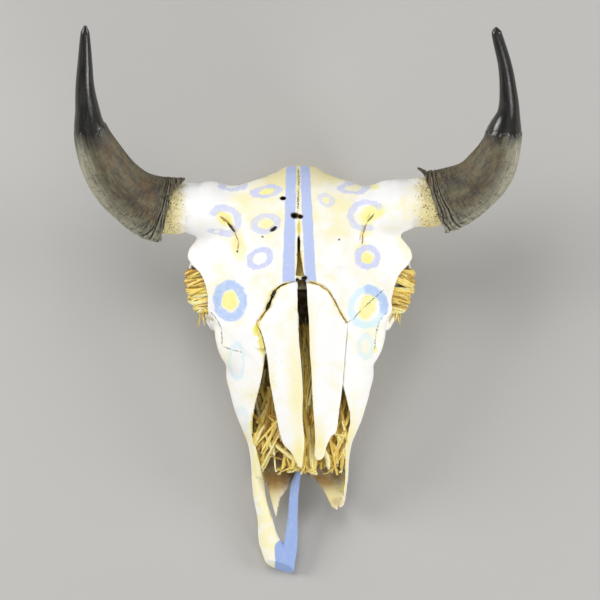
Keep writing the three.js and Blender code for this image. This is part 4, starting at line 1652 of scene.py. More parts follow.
class Kind(Enum):
    """The nodes of a finish: type, inputs in order, the output that is read, a setting and its choice."""

    PLUS = ("Math", (0, 1), 0, "operation", "ADD")
    MINUS = ("Math", (0, 1), 0, "operation", "SUBTRACT")
    TIMES = ("Math", (0, 1), 0, "operation", "MULTIPLY")
    TIMES_PLUS = ("Math", (0, 1, 2), 0, "operation", "MULTIPLY_ADD")
    OVER = ("Math", (0, 1), 0, "operation", "DIVIDE")
    LARGER = ("Math", (0, 1), 0, "operation", "MAXIMUM")
    UNSIGNED = ("Math", (0,), 0, "operation", "ABSOLUTE")
    SIGN = ("Math", (0,), 0, "operation", "SIGN")
    ROOT = ("Math", (0,), 0, "operation", "SQRT")
    # A soft rise of a value, from the fourth number at the second to the fifth at the third
    RISE = ("MapRange", ("Value", "From Min", "From Max", "To Min", "To Max"), 0, "interpolation_type",
            "SMOOTHSTEP")
    MIX = ("Mix", (0, 6, 7), 2, "data_type", "RGBA")
    # Cloudy swells and scattered points, by their number to a millimetre
    CLOUDS = ("TexNoise", ("Vector", "Scale", "Detail", "Roughness"), 0, "noise_dimensions", "3D")
    SPECKS = ("TexVoronoi", ("Vector", "Scale"), "Distance", "feature", "F1")
    RELIEF = ("Bump", ("Height", "Distance", "Strength"), 0, "invert", False)


class Shader:
    """A material's node tree, with the skull's own coordinates in it."""

    def __init__(self, name: str) -> None:
        """Start a material.

        Args:
            name: The real material and how it was made.
        """
        self.material = bpy.data.materials.new(name)
        self.material.use_nodes = True
        self.tree = self.material.node_tree
        self.surface = self.tree.nodes["Principled BSDF"]
        place = add_node(self.tree, "ShaderNodeTexCoord").outputs["Object"]
        euler = FACE.matrix().to_euler()
        lift = FACE.matrix().to_translation()
        into_face = {"Vector": place, "Location": lift, "Rotation": euler, "Scale": (MM, MM, MM)}
        self.face = add_node(self.tree, "ShaderNodeMapping", into_face, vector_type="TEXTURE").outputs[0]
        self.x, self.y, self.z = add_node(self.tree, "ShaderNodeSeparateXYZ", {0: self.face}).outputs

    def add(self, kind: Kind, *values: Any) -> Any:
        """Add a node and feed it.

        Args:
            kind: What it does.
            values: Its numbers, colours or sockets, in the order that the kind gives.

        Returns:
            The socket that holds the result.
        """
        name, inputs, output, setting, choice = kind.value
        made = add_node(self.tree, "ShaderNode" + name, dict(zip(inputs, values)), **{setting: choice})
        return made.outputs[output]

    def link(self, socket: Any, name: str) -> None:
        """Feed one of the surface's inputs."""
        self.tree.links.new(socket, self.surface.inputs[name])


LILAC, SKY, CYAN, YELLOW = "#d0d5f6", "#bad0f5", "#d3f2fc", "#fdf694"
# The last colour on the next line is near black, used only for painted shade in furrows, gaps, holes and
# pits.
CREAM, GOLD, OCHRE, EARTH, DEEP_SHADE = "#fcf0a8", "#edda62", "#a67c38", "#5d4526", "#20150a"


@dataclass(frozen=True)
class Mark:
    """A painted ring or patch on the bone, or a line or patch of painted shade, as an ellipse in the face
    frame.
    """

    centre: tuple[float, float]
    half: tuple[float, float]
    turn: float
    stroke: float
    paint: str
    strength: float
    arc: tuple[float, float] | None = None
    fade: float = 0.45


def tint(centre: tuple[float, float], half: tuple[float, float], turn: float, strength: float,
         paint: str = CREAM) -> Mark:
    """A patch of colour without an edge, as age leaves it on bone, or a patch of painted shade."""
    return Mark(centre, half, turn, 0, paint, strength, fade=1.1)


def seam(*points: tuple[float, float], width: float = 1.0, paint: str = EARTH,
         strength: float = 0.9) -> tuple[Mark, ...]:
    """A line of colour along a suture or a furrow, as a chain of thin marks.

    Args:
        points: The line's corners in the face frame.
        width: Half the line's width, in millimetres.
        paint: Its colour.
        strength: How far it covers the bone.

    Returns:
        One mark for each stretch of the line.
    """
    marks = []
    for (x0, y0), (x1, y1) in zip(points, points[1:]):
        length = math.hypot(x1 - x0, y1 - y0)
        turn = math.degrees(math.atan2(y1 - y0, x1 - x0))
        marks.append(Mark(((x0 + x1) / 2, (y0 + y1) / 2), (length / 2 + 0.6 * width, width), turn, 0, paint,
                          strength))
    return tuple(marks)


YELLOW_CENTRES = (
    Mark((-43, 145), (13, 5), 12, 0, YELLOW, 0.75), Mark((-42, 102), (9, 5.5), 10, 0, YELLOW, 0.5),
    Mark((-101, 109), (15, 9), -38, 0, YELLOW, 0.95), Mark((-94, -1.5), (12, 14.5), 8, 0, YELLOW, 1.0),
    Mark((96, 116), (20, 11), 20, 0, YELLOW, 0.9), Mark((88, 98), (9, 16), -15, 0, YELLOW, 0.7),
    Mark((90, 56), (9, 7.5), 0, 0, YELLOW, 1.0), Mark((90, -9), (12, 20), -25, 0, YELLOW, 0.9),
    Mark((35, 133), (4, 3), 0, 0, YELLOW, 0.7), Mark((94, 152), (14, 4.5), 0, 0, YELLOW, 0.6),
    Mark((-81, 66), (10, 16), 0, 0, YELLOW, 0.5), Mark((84, 68), (12, 12), 0, 0, YELLOW, 0.4),
    Mark((-58, -40), (6, 8), -25, 0, YELLOW, 1.0), Mark((-52, -62), (3.2, 16), 12, 0, YELLOW, 0.9),
    Mark((-1, 45), (7, 22), 0, 0, YELLOW, 0.5), Mark((100, -66), (4, 5), 0, 0, YELLOW, 0.8),
)
PAINTED_RINGS = (
    Mark((-44.5, 145.2), (16.6, 6.4), 8, 7.5, LILAC, 0.9),
    Mark((-45.7, 101.7), (16, 10.4), 8, 8.0, LILAC, 0.75),
    Mark((-53.5, 55.3), (14.8, 10.8), 25, 7.5, LILAC, 0.95), Mark((-90, 154), (15, 6.5), 0, 7.0, LILAC, 0.8),
    Mark((-100.5, 106), (18.8, 17), -25, 8.5, LILAC, 0.75, (45, 135)),
    Mark((-103, 90), (17, 3.2), -8, 5.0, LILAC, 0.6), Mark((-93.6, -1.5), (17.4, 21.5), 6, 11.5, SKY, 1.0),
    Mark((-84.8, -82.7), (10, 22), 0, 6.0, CYAN, 0.5), Mark((-79, -161), (8, 13), 0, 8.0, CYAN, 0.35),
    Mark((72.1, 150), (17.5, 6.4), 3, 7.0, LILAC, 0.8), Mark((34.9, 133.3), (9, 6.4), -25, 5.5, LILAC, 0.55),
    Mark((88.4, 113.1), (20.8, 17.6), 12, 8.0, LILAC, 0.75, (150, 135)),
    Mark((90.3, 57.3), (13.6, 12.6), 10, 8.0, LILAC, 0.95),
    Mark((90.3, -9.3), (22, 24.5), -15, 9.0, CYAN, 0.75),
    Mark((90.3, -9.3), (22, 23), -15, 11.0, SKY, 0.95, (55, 62)),
    Mark((88, -62), (9, 14), 0, 7.0, CYAN, 0.5),
)
SUTURES = (
    *seam((-120, -16), (-111, -26), (-105.5, -38), (-104, -62), (-90, -67), (-78, -70)),
    *seam((117, -15), (106, -28), (101.5, -46), (100, -66)),
    *seam((111, 13), (101, 4), (82, -13), (71, -26), (60, -31)),
    *seam((-2, 176), (-1.6, 150), (-3, 118), width=1.6),
)
# Stains of the old bone, with two marks of painted shade, each noted where it stands.
STAINS_AND_SHADE = (
    tint((-3, -120), (20, 120), 3, 0.75), tint((-1, -208), (13, 32), 0, 0.95),
    tint((26, -194), (14, 38), 0, 0.9), tint((14, -80), (10, 110), 0, 0.6),
    tint((-64, -226), (20, 70), 12, 1.0), tint((66, -200), (16, 80), -4, 0.9),
    tint((-84, 79), (14, 22), 0, 0.9), tint((42, -266), (34, 30), -20, 1.0, "#ecdc9a"),
    tint((32, -243), (24, 14), -20, 0.8, OCHRE), tint((-40, -262), (20, 40), 0, 1.0, "#e8d89c"),
    # Painted shadow: the first patch on the next line browns the top of the right palate shelf under the
    # grass.
    tint((-36, -244), (24, 20), 20, 0.95, OCHRE), tint((50, -272), (10, 8), 0, 0.5, OCHRE),
    # Painted shade: the next line is a gold line along the inner edge of the right nose opening, where the
    # bone turns down into the cavity.
    *seam((-63, -150), (-63.5, -181), (-58, -199), (-51, -226), width=2.4, paint=GOLD, strength=0.9),
    *seam((66, -160), (60, -198), (61, -233), (56, -262), width=2.4, paint=GOLD, strength=0.7),
    *seam((-14, 24), (-24, 20), (-33, 14), width=3.0, paint=GOLD, strength=0.8),
    *seam((-33, 14), (-39, 0), (-46, -15), width=5.2, paint=GOLD, strength=0.75),
    *seam((-46, -15), (-55, -28), (-59, -38), (-53, -48), (-49, -70), width=3.2, paint=GOLD, strength=0.95),
    *seam((12, 25), (25, 21), (37, 13), (44, 3), (50, -10), (62, -30), width=2.8, paint=GOLD, strength=0.75),
    *seam((-1.4, 106), (-1.2, 84), width=3.0, paint=GOLD, strength=0.8),
    *seam((-1, 66), (0, 34), width=4.0, paint=OCHRE, strength=0.85),
)
# Painted shade: ochre and near-black lines in the furrows and the midline gap, and near-black patches on the
# holes and small pits.
FURROW_SHADE = (
    *seam((-106, 111), (-97, 104), (-87, 91), width=1.8, paint=OCHRE, strength=0.9),
    *seam((-97, 104), (-87, 90.5), width=1.6, paint=DEEP_SHADE, strength=0.85),
    *seam((-87, 90), (-82, 78), (-83, 66), width=1.0, paint=OCHRE, strength=0.8),
    *seam((99, 115), (90, 104), width=1.3, paint=DEEP_SHADE, strength=0.8),
    *seam((89, 103), (84, 88), (83, 74), width=1.2, paint=OCHRE, strength=0.9),
    *seam((-18, 22.5), (-26, 19), (-33, 13.5), width=1.3, paint=DEEP_SHADE, strength=0.8),
    *seam((-33, 13.5), (-39, 0), (-45, -14), width=2.6, paint=DEEP_SHADE, strength=1.0),
    *seam((-45, -14), (-55, -29), width=1.0, paint=OCHRE, strength=0.9),
    *seam((12, 25), (25, 20), (37, 12.5), (44, 3), (50, -10), (62, -30), width=1.0, paint=OCHRE),
    *seam((-1.2, 86), (-1, 64), width=2.0, paint=DEEP_SHADE, strength=0.9),
    Mark((-22.5, 135.7), (4.4, 2.6), 10, 0, DEEP_SHADE, 1.0), Mark((-8.2, 112.8), (4.8, 3.8), -10, 0, DEEP_SHADE, 1.0),
    Mark((0.8, 111.4), (4.0, 3.2), 0, 0, DEEP_SHADE, 1.0), Mark((-35.2, 94.6), (5.6, 2.7), 35, 0, DEEP_SHADE, 1.0),
    Mark((-50, 84.2), (1.5, 1.3), 0, 0, DEEP_SHADE, 1.0), Mark((52, 80.5), (1.4, 1.3), 0, 0, DEEP_SHADE, 0.9),
    Mark((-83.9, 65), (1.8, 1.6), 0, 0, DEEP_SHADE, 0.9), Mark((-3.6, 27), (2.6, 3.2), 0, 0, DEEP_SHADE, 1.0),
    Mark((6, 28.8), (4.6, 3.2), 0, 0, DEEP_SHADE, 1.0),
)


@dataclass(frozen=True)
class PaintedBone:
    """Skull bone bleached by the sun, marked by hand with thin chalky paint."""

    # To the eye: dry chalky white with painted shade, tan in its hollows, brown inside the nose and near
    # black in its holes; matt paint worn at its edges.

    painted_end: bool = False
    ivory: str = "#fffefa"
    cream: str = "#fdf5c6"
    # Tan: painted shade in the recesses, and stains round the horn cores.
    hollow: str = "#b9924a"
    shaded: str = "#8f7443"
    burr: str = "#f1e3a6"
    # Near black: pits and pores, and painted shade in the deepest recesses.
    pit: str = "#4a3319"
    stripe: str = "#bfccf1"
    end_paint: str = "#9cb4e4"
    stripe_edges: tuple[tuple[tuple[float, float], ...], ...] = (
        ((-23.7, 27), (-18.3, 177), (-7.1, 27), (-5.3, 177)),
        ((6.6, 28), (-0.3, 177), (21.7, 28), (13.3, 177)))

    def material(self) -> bpy.types.Material:
        """The finish as a material.

        Returns:
            The material.
        """
        s = Shader("sun_bleached_bone_with_hand_painted_" + ("end" if self.painted_end else "rings"))
        recess = add_node(s.tree, "ShaderNodeAttribute", attribute_name="recess").outputs["Fac"]
        front = self._front(s)
        aside = s.add(Kind.UNSIGNED, s.x)
        middle = s.add(Kind.TIMES, s.add(Kind.RISE, s.y, -10, 150), s.add(Kind.RISE, aside, 128, 40))
        aged = s.add(Kind.TIMES_PLUS, middle, 0.20, s.add(Kind.CLOUDS, s.face, 1 / 40, 5, 0.6))
        tone = s.add(Kind.MIX, s.add(Kind.RISE, aged, 0.46, 0.80), colour(self.ivory), colour(self.cream))
        # Painted shade: the bone turns tan brown in its recesses.
        tone = s.add(Kind.MIX, s.add(Kind.RISE, recess, 0.05, 0.30), tone, colour(self.hollow))
        # Painted shade: the deepest recesses, such as holes, turn near black; this goes on last, over the
        # paint.
        hole_shade = s.add(Kind.RISE, recess, 0.36, 0.62)
        tone = self._burr(s, aside, tone)
        # Painted shade inside the mouth of the nose.
        tone = self._nose_shade(s, aside, tone)
        drawn, straight = self._wobbled(s, 9, 6.5), self._wobbled(s, 16, 3.0)
        if self.painted_end:
            tone = self._end(s, straight, tone)
        else:
            worn = s.add(Kind.TIMES, front,
                         s.add(Kind.RISE, s.add(Kind.CLOUDS, s.face, 1 / 6, 4, 0.7), 0.25, 0.6, 0.6, 1.0))
            dots = s.add(Kind.TIMES, front,
                         s.add(Kind.RISE, s.add(Kind.CLOUDS, s.face, 1 / 1.5, 1, 0.55), 0.46, 0.52))
            fine = self._wobbled(s, 4, 2.0)
            for mark in YELLOW_CENTRES + PAINTED_RINGS:
                tone = self._painted(s, drawn, worn, mark, tone)
            tone = self._stripes(s, straight, front, tone)
            for mark in STAINS_AND_SHADE:
                tone = self._painted(s, drawn, worn, mark, tone)
            for mark in SUTURES:
                tone = self._painted(s, fine, dots, mark, tone)
            for mark in FURROW_SHADE:
                tone = self._painted(s, fine, front, mark, tone)
        tone = s.add(Kind.MIX, hole_shade, self._pores(s, tone), colour(self.pit))
        s.link(tone, "Base Color")
        s.link(s.add(Kind.RISE, s.add(Kind.CLOUDS, s.face, 1 / 14, 3, 0.55), 0.3, 0.7, 0.48, 0.62),
               "Roughness")
        grain = s.add(Kind.PLUS, s.add(Kind.CLOUDS, s.face, 1 / 1.6, 4, 0.65),
                      s.add(Kind.TIMES, s.add(Kind.CLOUDS, s.face, 1 / 7, 3, 0.55), 0.8))
        wrinkled = s.add(Kind.TIMES, s.add(Kind.SPECKS, s.face, 1 / 4.5),
                         s.add(Kind.RISE, aside, 144, 160, 0.0, 3.5))
        s.link(s.add(Kind.RELIEF, s.add(Kind.PLUS, grain, wrinkled), 0.5 * MM, 0.55), "Normal")
        s.surface.inputs["Specular IOR Level"].default_value = 0.3
        s.surface.inputs["Subsurface Weight"].default_value = 0.06
        s.surface.inputs["Subsurface Radius"].default_value = (0.004, 0.003, 0.002)
        return s.material

    def _wobbled(self, s: Shader, size: float, reach: float) -> Any:
        """The face's coordinates, pushed about as an unsteady hand would.

        Args:
            s: The finish's nodes.
            size: The length of a swerve, in millimetres.
            reach: How wide it is.

        Returns:
            The new coordinates.
        """
        cloud = add_node(s.tree, "ShaderNodeTexNoise", {"Vector": s.face, "Scale": 1 / size,
                                                        "Detail": 2.0}).outputs["Color"]
        push = add_node(s.tree, "ShaderNodeVectorMath", {0: cloud, 1: (0.5, 0.5, 0.5)},
                        operation="SUBTRACT").outputs[0]
        push = add_node(s.tree, "ShaderNodeVectorMath", {0: push, "Scale": reach},
                        operation="SCALE").outputs[0]
        return add_node(s.tree, "ShaderNodeVectorMath", {0: s.face, 1: push}, operation="ADD").outputs[0]

    def _front(self, s: Shader) -> Any:
        """A mask for the side of the skull that faces forwards.

        Args:
            s: The finish's nodes.

        Returns:
            1 on the front, 0 elsewhere.
        """
        normal = add_node(s.tree, "ShaderNodeNewGeometry").outputs["Normal"]
        out = (FACE.matrix().to_3x3() @ Vector((0, 0, 1))).normalized()
        facing = add_node(s.tree, "ShaderNodeVectorMath", {0: normal, 1: out},
                          operation="DOT_PRODUCT").outputs[1]
        return s.add(Kind.TIMES, s.add(Kind.RISE, facing, 0.10, 0.28), s.add(Kind.RISE, s.z, -112, -104))

    def _burr(self, s: Shader, aside: Any, tone: Any) -> Any:
        """Yellowed, pitted bone beside the horn sheaths and along the crest.

        Args:
            s: The finish's nodes.
            aside: How far from the midline.
            tone: The bone's colour so far.

        Returns:
            The new colour.
        """
        uneven = s.add(Kind.TIMES, s.add(Kind.MINUS, s.add(Kind.CLOUDS, s.face, 1 / 9, 4, 0.55), 0.5), 26)
        reach = s.add(Kind.PLUS, aside, uneven)
        band = s.add(Kind.TIMES, s.add(Kind.RISE, reach, 146, 170), s.add(Kind.RISE, s.y, 70, 80))
        crest = s.add(Kind.TIMES, s.add(Kind.RISE, s.add(Kind.PLUS, s.y, uneven), 144, 164),
                      s.add(Kind.RISE, reach, 64, 40))
        tone = s.add(Kind.MIX, s.add(Kind.TIMES, crest, 0.6), tone, colour(self.burr))
        tone = s.add(Kind.MIX, band, tone, colour(self.burr))
        stained = s.add(Kind.TIMES, s.add(Kind.RISE, s.add(Kind.CLOUDS, s.face, 1 / 6, 4, 0.7), 0.5, 0.66),
                        0.45)
        tone = s.add(Kind.MIX, s.add(Kind.TIMES, band, stained), tone, colour(self.hollow))
        pits = s.add(Kind.TIMES, s.add(Kind.RISE, s.add(Kind.SPECKS, s.face, 1 / 3.6), 0.30, 0.20),
                     s.add(Kind.RISE, s.add(Kind.CLOUDS, s.face, 1 / 8, 2, 0.55), 0.40, 0.5))
        return s.add(Kind.MIX, s.add(Kind.TIMES, band, pits), tone, colour(self.pit))

    def _nose_shade(self, s: Shader, aside: Any, tone: Any) -> Any:
        """Painted shade on the bone inside the mouth of the nose and on the inner walls of its openings.

        Args:
            s: The finish's nodes.
            aside: How far from the midline.
            tone: The bone's colour so far.

        Returns:
            The new colour.
        """
        inside = s.add(Kind.TIMES, s.add(Kind.RISE, aside, 59, 52), s.add(Kind.RISE, s.z, -74, -84))
        inside = s.add(Kind.TIMES, inside, s.add(Kind.RISE, s.y, -292, -240))
        inside = s.add(Kind.TIMES, inside, s.add(Kind.RISE, s.y, 20, 0))
        normal = add_node(s.tree, "ShaderNodeNewGeometry").outputs["Normal"]
        sideways = add_node(s.tree, "ShaderNodeSeparateXYZ", {0: normal}).outputs[0]
        wall = s.add(Kind.RISE, s.add(Kind.TIMES, sideways, s.add(Kind.SIGN, s.x)), -0.1, -0.5)
        wall = s.add(Kind.TIMES, wall, s.add(Kind.RISE, aside, 72, 66))
        wall = s.add(Kind.TIMES, wall, s.add(Kind.RISE, s.z, -26, -42))
        wall = s.add(Kind.TIMES, wall, s.add(Kind.RISE, s.y, 16, 4))
        inside = s.add(Kind.LARGER, inside, wall)
        uneven = s.add(Kind.RISE, s.add(Kind.CLOUDS, s.face, 1 / 10, 4, 0.55), 0.3, 0.6, 0.7, 1.0)
        share = 0.0 if self.painted_end else 0.95
        return s.add(Kind.MIX, s.add(Kind.TIMES, s.add(Kind.TIMES, inside, uneven), share), tone,
                     colour(self.shaded))

    def _painted(self, s: Shader, drawn: Any, where: Any, mark: Mark, tone: Any) -> Any:
        """The bone's colour with one mark painted over it.

        Args:
            s: The finish's nodes.
            drawn: Where the brush is.
            where: How much paint the bone holds.
            mark: The mark.
            tone: The bone's colour so far.

        Returns:
            The new colour.
        """
        turn = math.radians(mark.turn)
        offset = add_node(s.tree, "ShaderNodeVectorMath", {0: drawn, 1: (*mark.centre, 0)},
                          operation="SUBTRACT").outputs[0]
        axes = ((math.cos(turn), math.sin(turn), 0), (-math.sin(turn), math.cos(turn), 0))
        a, b = (add_node(s.tree, "ShaderNodeVectorMath", {0: offset, 1: Vector(axis) / half},
                         operation="DOT_PRODUCT").outputs[1] for axis, half in zip(axes, mark.half))
        radius = s.add(Kind.ROOT, s.add(Kind.TIMES_PLUS, a, a, s.add(Kind.TIMES, b, b)))
        if mark.stroke:
            edge = mark.stroke / (mark.half[0] + mark.half[1])
            off = s.add(Kind.UNSIGNED, s.add(Kind.MINUS, radius, 1.0))
            mask = s.add(Kind.RISE, off, edge * 1.3, edge * 0.8, 0.0, mark.strength)
        else:
            mask = s.add(Kind.RISE, radius, 1.15, 1.15 - mark.fade, 0.0, mark.strength)
        if mark.arc:
            middle, reach = (math.radians(angle) for angle in mark.arc)
            along = s.add(Kind.TIMES_PLUS, a, math.cos(middle), s.add(Kind.TIMES, b, math.sin(middle)))
            along = s.add(Kind.OVER, along, radius)
            mask = s.add(Kind.TIMES, mask,
                         s.add(Kind.RISE, along, math.cos(reach) - 0.12, math.cos(reach) + 0.12))
        return s.add(Kind.MIX, s.add(Kind.TIMES, mask, where), tone, colour(mark.paint))

    def _stripes(self, s: Shader, drawn: Any, front: Any, tone: Any) -> Any:
        """The two long stripes beside the midline.

        Args:
            s: The finish's nodes.
            drawn: Where the brush is.
            front: The mask of the front.
            tone: The bone's colour so far.

        Returns:
            The new colour.
        """
        x, y, _ = add_node(s.tree, "ShaderNodeSeparateXYZ", {0: drawn}).outputs
        worn = s.add(Kind.RISE, s.add(Kind.CLOUDS, s.face, 1 / 5, 4, 0.7), 0.22, 0.5, 0.75, 1.0)
        for low_left, high_left, low_right, high_right in self.stripe_edges:
            inside = s.add(Kind.RISE, y, 22, 25)
            for (x0, y0), (x1, y1), sign in ((low_left, high_left, 1), (low_right, high_right, -1)):
                slope = (x1 - x0) / (y1 - y0)
                line = s.add(Kind.TIMES_PLUS, y, slope, x0 - slope * y0)
                gap = s.add(Kind.TIMES, s.add(Kind.MINUS, x, line), sign)
                inside = s.add(Kind.TIMES, inside, s.add(Kind.RISE, gap, -0.6, 0.9))
            tone = s.add(Kind.MIX, s.add(Kind.TIMES, s.add(Kind.TIMES, inside, front), worn), tone,
                         colour(self.stripe))
        return tone

    def _end(self, s: Shader, drawn: Any, tone: Any) -> Any:
        """The painted inner bar and end of the premaxilla.

        Args:
            s: The finish's nodes.
            drawn: Where the brush is.
            tone: The bone's colour so far.

        Returns:
            The new colour.
        """
        x, y, _ = add_node(s.tree, "ShaderNodeSeparateXYZ", {0: drawn}).outputs
        cream = s.add(Kind.RISE, s.add(Kind.CLOUDS, s.face, 1 / 18, 3, 0.55), 0.3, 0.58)
        tone = s.add(Kind.MIX, cream, tone, colour(self.cream))
        edge = s.add(Kind.RISE, y, -332, -318, -34, -24)
        worn = s.add(Kind.RISE, s.add(Kind.CLOUDS, s.face, 1 / 5, 4, 0.7), 0.22, 0.5, 0.8, 1.0)
        end = s.add(Kind.TIMES, s.add(Kind.RISE, s.add(Kind.MINUS, x, edge), -0.8, 0.8), worn)
        return s.add(Kind.MIX, end, tone, colour(self.end_paint))

    def _pores(self, s: Shader, tone: Any) -> Any:
        """Scattered small dark pores.

        Args:
            s: The finish's nodes.
            tone: The bone's colour so far.

        Returns:
            The new colour.
        """
        chosen = s.add(Kind.RISE, s.add(Kind.CLOUDS, s.face, 1 / 30, 2, 0.55), 0.52, 0.7)
        pores = s.add(Kind.RISE, s.add(Kind.SPECKS, s.face, 1 / 4.2), 0.13, 0.07)
        return s.add(Kind.MIX, s.add(Kind.TIMES, s.add(Kind.TIMES, pores, chosen), 0.7), tone,
                     colour(self.pit))


@dataclass(frozen=True)
class WornKeratin:
    """Horn sheath, dried and flaking at its root, rubbed glossy towards its tip."""

    # To the eye: dull olive fibres at the root, painted shade in its cracks and a painted highlight down its
    # outer side; near black at the tip, with a waxy gloss and streaks of painted sheen.

    # Near black: the tip and the growth rings, and painted shade in the hollows of the relief.
    dark: str = "#15130f"
    brown: str = "#493f2b"
    olive: str = "#6f6849"
    # Pale: wear on the ridges, and a painted highlight down the outer side.
    pale: str = "#b5b29a"
    rust: str = "#76502b"
    sheen: str = "#36352f"

    def material(self) -> bpy.types.Material:
        """The finish as a material.

        Returns:
            The material.
        """
        s = Shader("horn_keratin_weathered_and_rubbed")
        grain = add_node(s.tree, "ShaderNodeAttribute", attribute_name="grain").outputs["Vector"]
        tip = add_node(s.tree, "ShaderNodeAttribute", attribute_name="tip_part").outputs["Fac"]
        fibre_place = add_node(s.tree, "ShaderNodeMapping",
                               {"Vector": grain, "Scale": (28, 28, 18)}).outputs[0]
        fibres = s.add(Kind.CLOUDS, fibre_place, 1, 4, 0.5)
        ring_place = add_node(s.tree, "ShaderNodeMapping", {"Vector": grain, "Scale": (3, 3, 95)}).outputs[0]
        rings = s.add(Kind.CLOUDS, ring_place, 1, 3, 0.5)
        across, _, along = add_node(s.tree, "ShaderNodeSeparateXYZ", {0: grain}).outputs
        hollow = add_node(s.tree, "ShaderNodeAttribute", attribute_name="hollow").outputs["Fac"]
        streak_place = add_node(s.tree, "ShaderNodeMapping",
                                {"Vector": grain, "Scale": (3.5, 3.5, 12)}).outputs[0]
        streaks = s.add(Kind.CLOUDS, streak_place, 1, 5, 0.62)
        base = s.add(Kind.MIX, s.add(Kind.RISE, streaks, 0.36, 0.66), colour(self.brown), colour(self.olive))
        # Painted highlight: the outer side, from the root to past the middle, is painted pale in fibre
        # streaks, standing for the side lamps' light.
        outer = s.add(Kind.TIMES, s.add(Kind.RISE, across, 0.1, -0.9), s.add(Kind.RISE, along, 0.72, 0.45))
        streaked = s.add(Kind.RISE, fibres, 0.30, 0.62, 0.35, 0.95)
        base = s.add(Kind.MIX, s.add(Kind.TIMES, outer, streaked), base, colour(self.pale))
        rust = s.add(Kind.TIMES, s.add(Kind.RISE, s.add(Kind.CLOUDS, s.face, 1 / 24, 4, 0.55), 0.48, 0.7),
                     s.add(Kind.RISE, across, -0.3, 0.5, 0.1, 0.45))
        base = s.add(Kind.MIX, rust, base, colour(self.rust))
        ringed = s.add(Kind.TIMES, s.add(Kind.RISE, along, 0.30, 0.1), s.add(Kind.RISE, rings, 0.45, 0.62))
        base = s.add(Kind.MIX, s.add(Kind.TIMES, ringed, 0.5), base, colour(self.dark))
        base = s.add(Kind.MIX, s.add(Kind.TIMES, s.add(Kind.RISE, rings, 0.5, 0.66), 0.3), base,
                     colour(self.dark))
        # Painted sheen: grey streaks in the near-black of the tip.
        glossy = s.add(Kind.MIX, s.add(Kind.RISE, streaks, 0.40, 0.75), colour(self.dark),
                       colour(self.sheen))
        tone = s.add(Kind.MIX, tip, base, glossy)
        tone = s.add(Kind.MIX, s.add(Kind.TIMES, s.add(Kind.RISE, fibres, 0.52, 0.32), 0.4), tone,
                     colour(self.dark))
        worn = s.add(Kind.TIMES, s.add(Kind.RISE, hollow, -0.10, -0.8),
                     s.add(Kind.RISE, tip, 1.0, 0.0, 0.0, 0.3))
        tone = s.add(Kind.MIX, worn, tone, colour(self.pale))
        # Painted shade: dark in the hollows of the horn's relief.
        tone = s.add(Kind.MIX, s.add(Kind.TIMES, s.add(Kind.RISE, hollow, 0.18, 0.8), 0.9), tone,
                     colour(self.dark))
        s.link(tone, "Base Color")
        rough = s.add(Kind.TIMES_PLUS, tip, -0.33, s.add(Kind.RISE, fibres, 0.3, 0.7, 0.48, 0.62))
        s.link(rough, "Roughness")
        relief = s.add(Kind.TIMES_PLUS, rings, s.add(Kind.RISE, along, 0.35, 0.1, 0.0, 1.2), fibres)
        relief = s.add(Kind.TIMES_PLUS, s.add(Kind.CLOUDS, s.face, 1 / 2.2, 4, 0.7),
                       s.add(Kind.RISE, along, 0.5, 0.1, 0.4, 1.3), relief)
        s.link(s.add(Kind.RELIEF, relief, 0.9 * MM, s.add(Kind.RISE, tip, 0.2, 1.0, 0.8, 0.12)), "Normal")
        s.surface.inputs["Specular IOR Level"].default_value = 0.65
        return s.material


@dataclass(frozen=True)
class DriedGrass:
    """Prairie grass, dried to straw and bent by hand."""

    # To the eye: pale golden blades with a faint sheen, browner where they lie deep.

    shadow: str = "#b98a38"
    straw: str = "#fde272"
    light: str = "#fffabc"

    def material(self) -> bpy.types.Material:
        """The finish as a material.

        Returns:
            The material.
        """
        s = Shader("dried_prairie_grass")
        shade = add_node(s.tree, "ShaderNodeAttribute", attribute_name="shade").outputs["Fac"]
        tone = s.add(Kind.MIX, s.add(Kind.RISE, shade, 0.0, 0.45), colour(self.shadow), colour(self.straw))
        tone = s.add(Kind.MIX, s.add(Kind.RISE, shade, 0.55, 1.0), tone, colour(self.light))
        tone = s.add(Kind.MIX, s.add(Kind.TIMES, s.add(Kind.RISE, s.add(Kind.CLOUDS, s.face, 1 / 5, 3, 0.55),
                                                       0.5, 0.75), 0.4), tone, colour(self.shadow))
        s.link(tone, "Base Color")
        s.surface.inputs["Roughness"].default_value = 0.62
        s.link(s.add(Kind.RELIEF, s.add(Kind.CLOUDS, s.face, 1 / 0.9, 2, 0.55), 0.3 * MM, 0.5), "Normal")
        return s.material


@dataclass(frozen=True)
class ToothEnamel:
    """Cheek teeth: enamel stained by cement, worn on their grinding faces."""

    # To the eye: ivory, glossier than the bone, with brown streaks down the crowns.

    enamel: str = "#d9cba6"
    stain: str = "#5d4527"

    def material(self) -> bpy.types.Material:
        """The finish as a material.

        Returns:
            The material.
        """
        s = Shader("tooth_enamel_and_cement")
        streak = add_node(s.tree, "ShaderNodeMapping", {"Vector": s.face, "Scale": (1, 1, 0.25)}).outputs[0]
        tone = s.add(Kind.MIX, s.add(Kind.RISE, s.add(Kind.CLOUDS, streak, 1 / 3.2, 4, 0.55), 0.42, 0.64),
                     colour(self.enamel), colour(self.stain))
        s.link(tone, "Base Color")
        s.surface.inputs["Roughness"].default_value = 0.34
        s.link(s.add(Kind.RELIEF, s.add(Kind.CLOUDS, streak, 1 / 2.2, 3, 0.55), 0.4 * MM, 0.5), "Normal")
        return s.material


# Studio


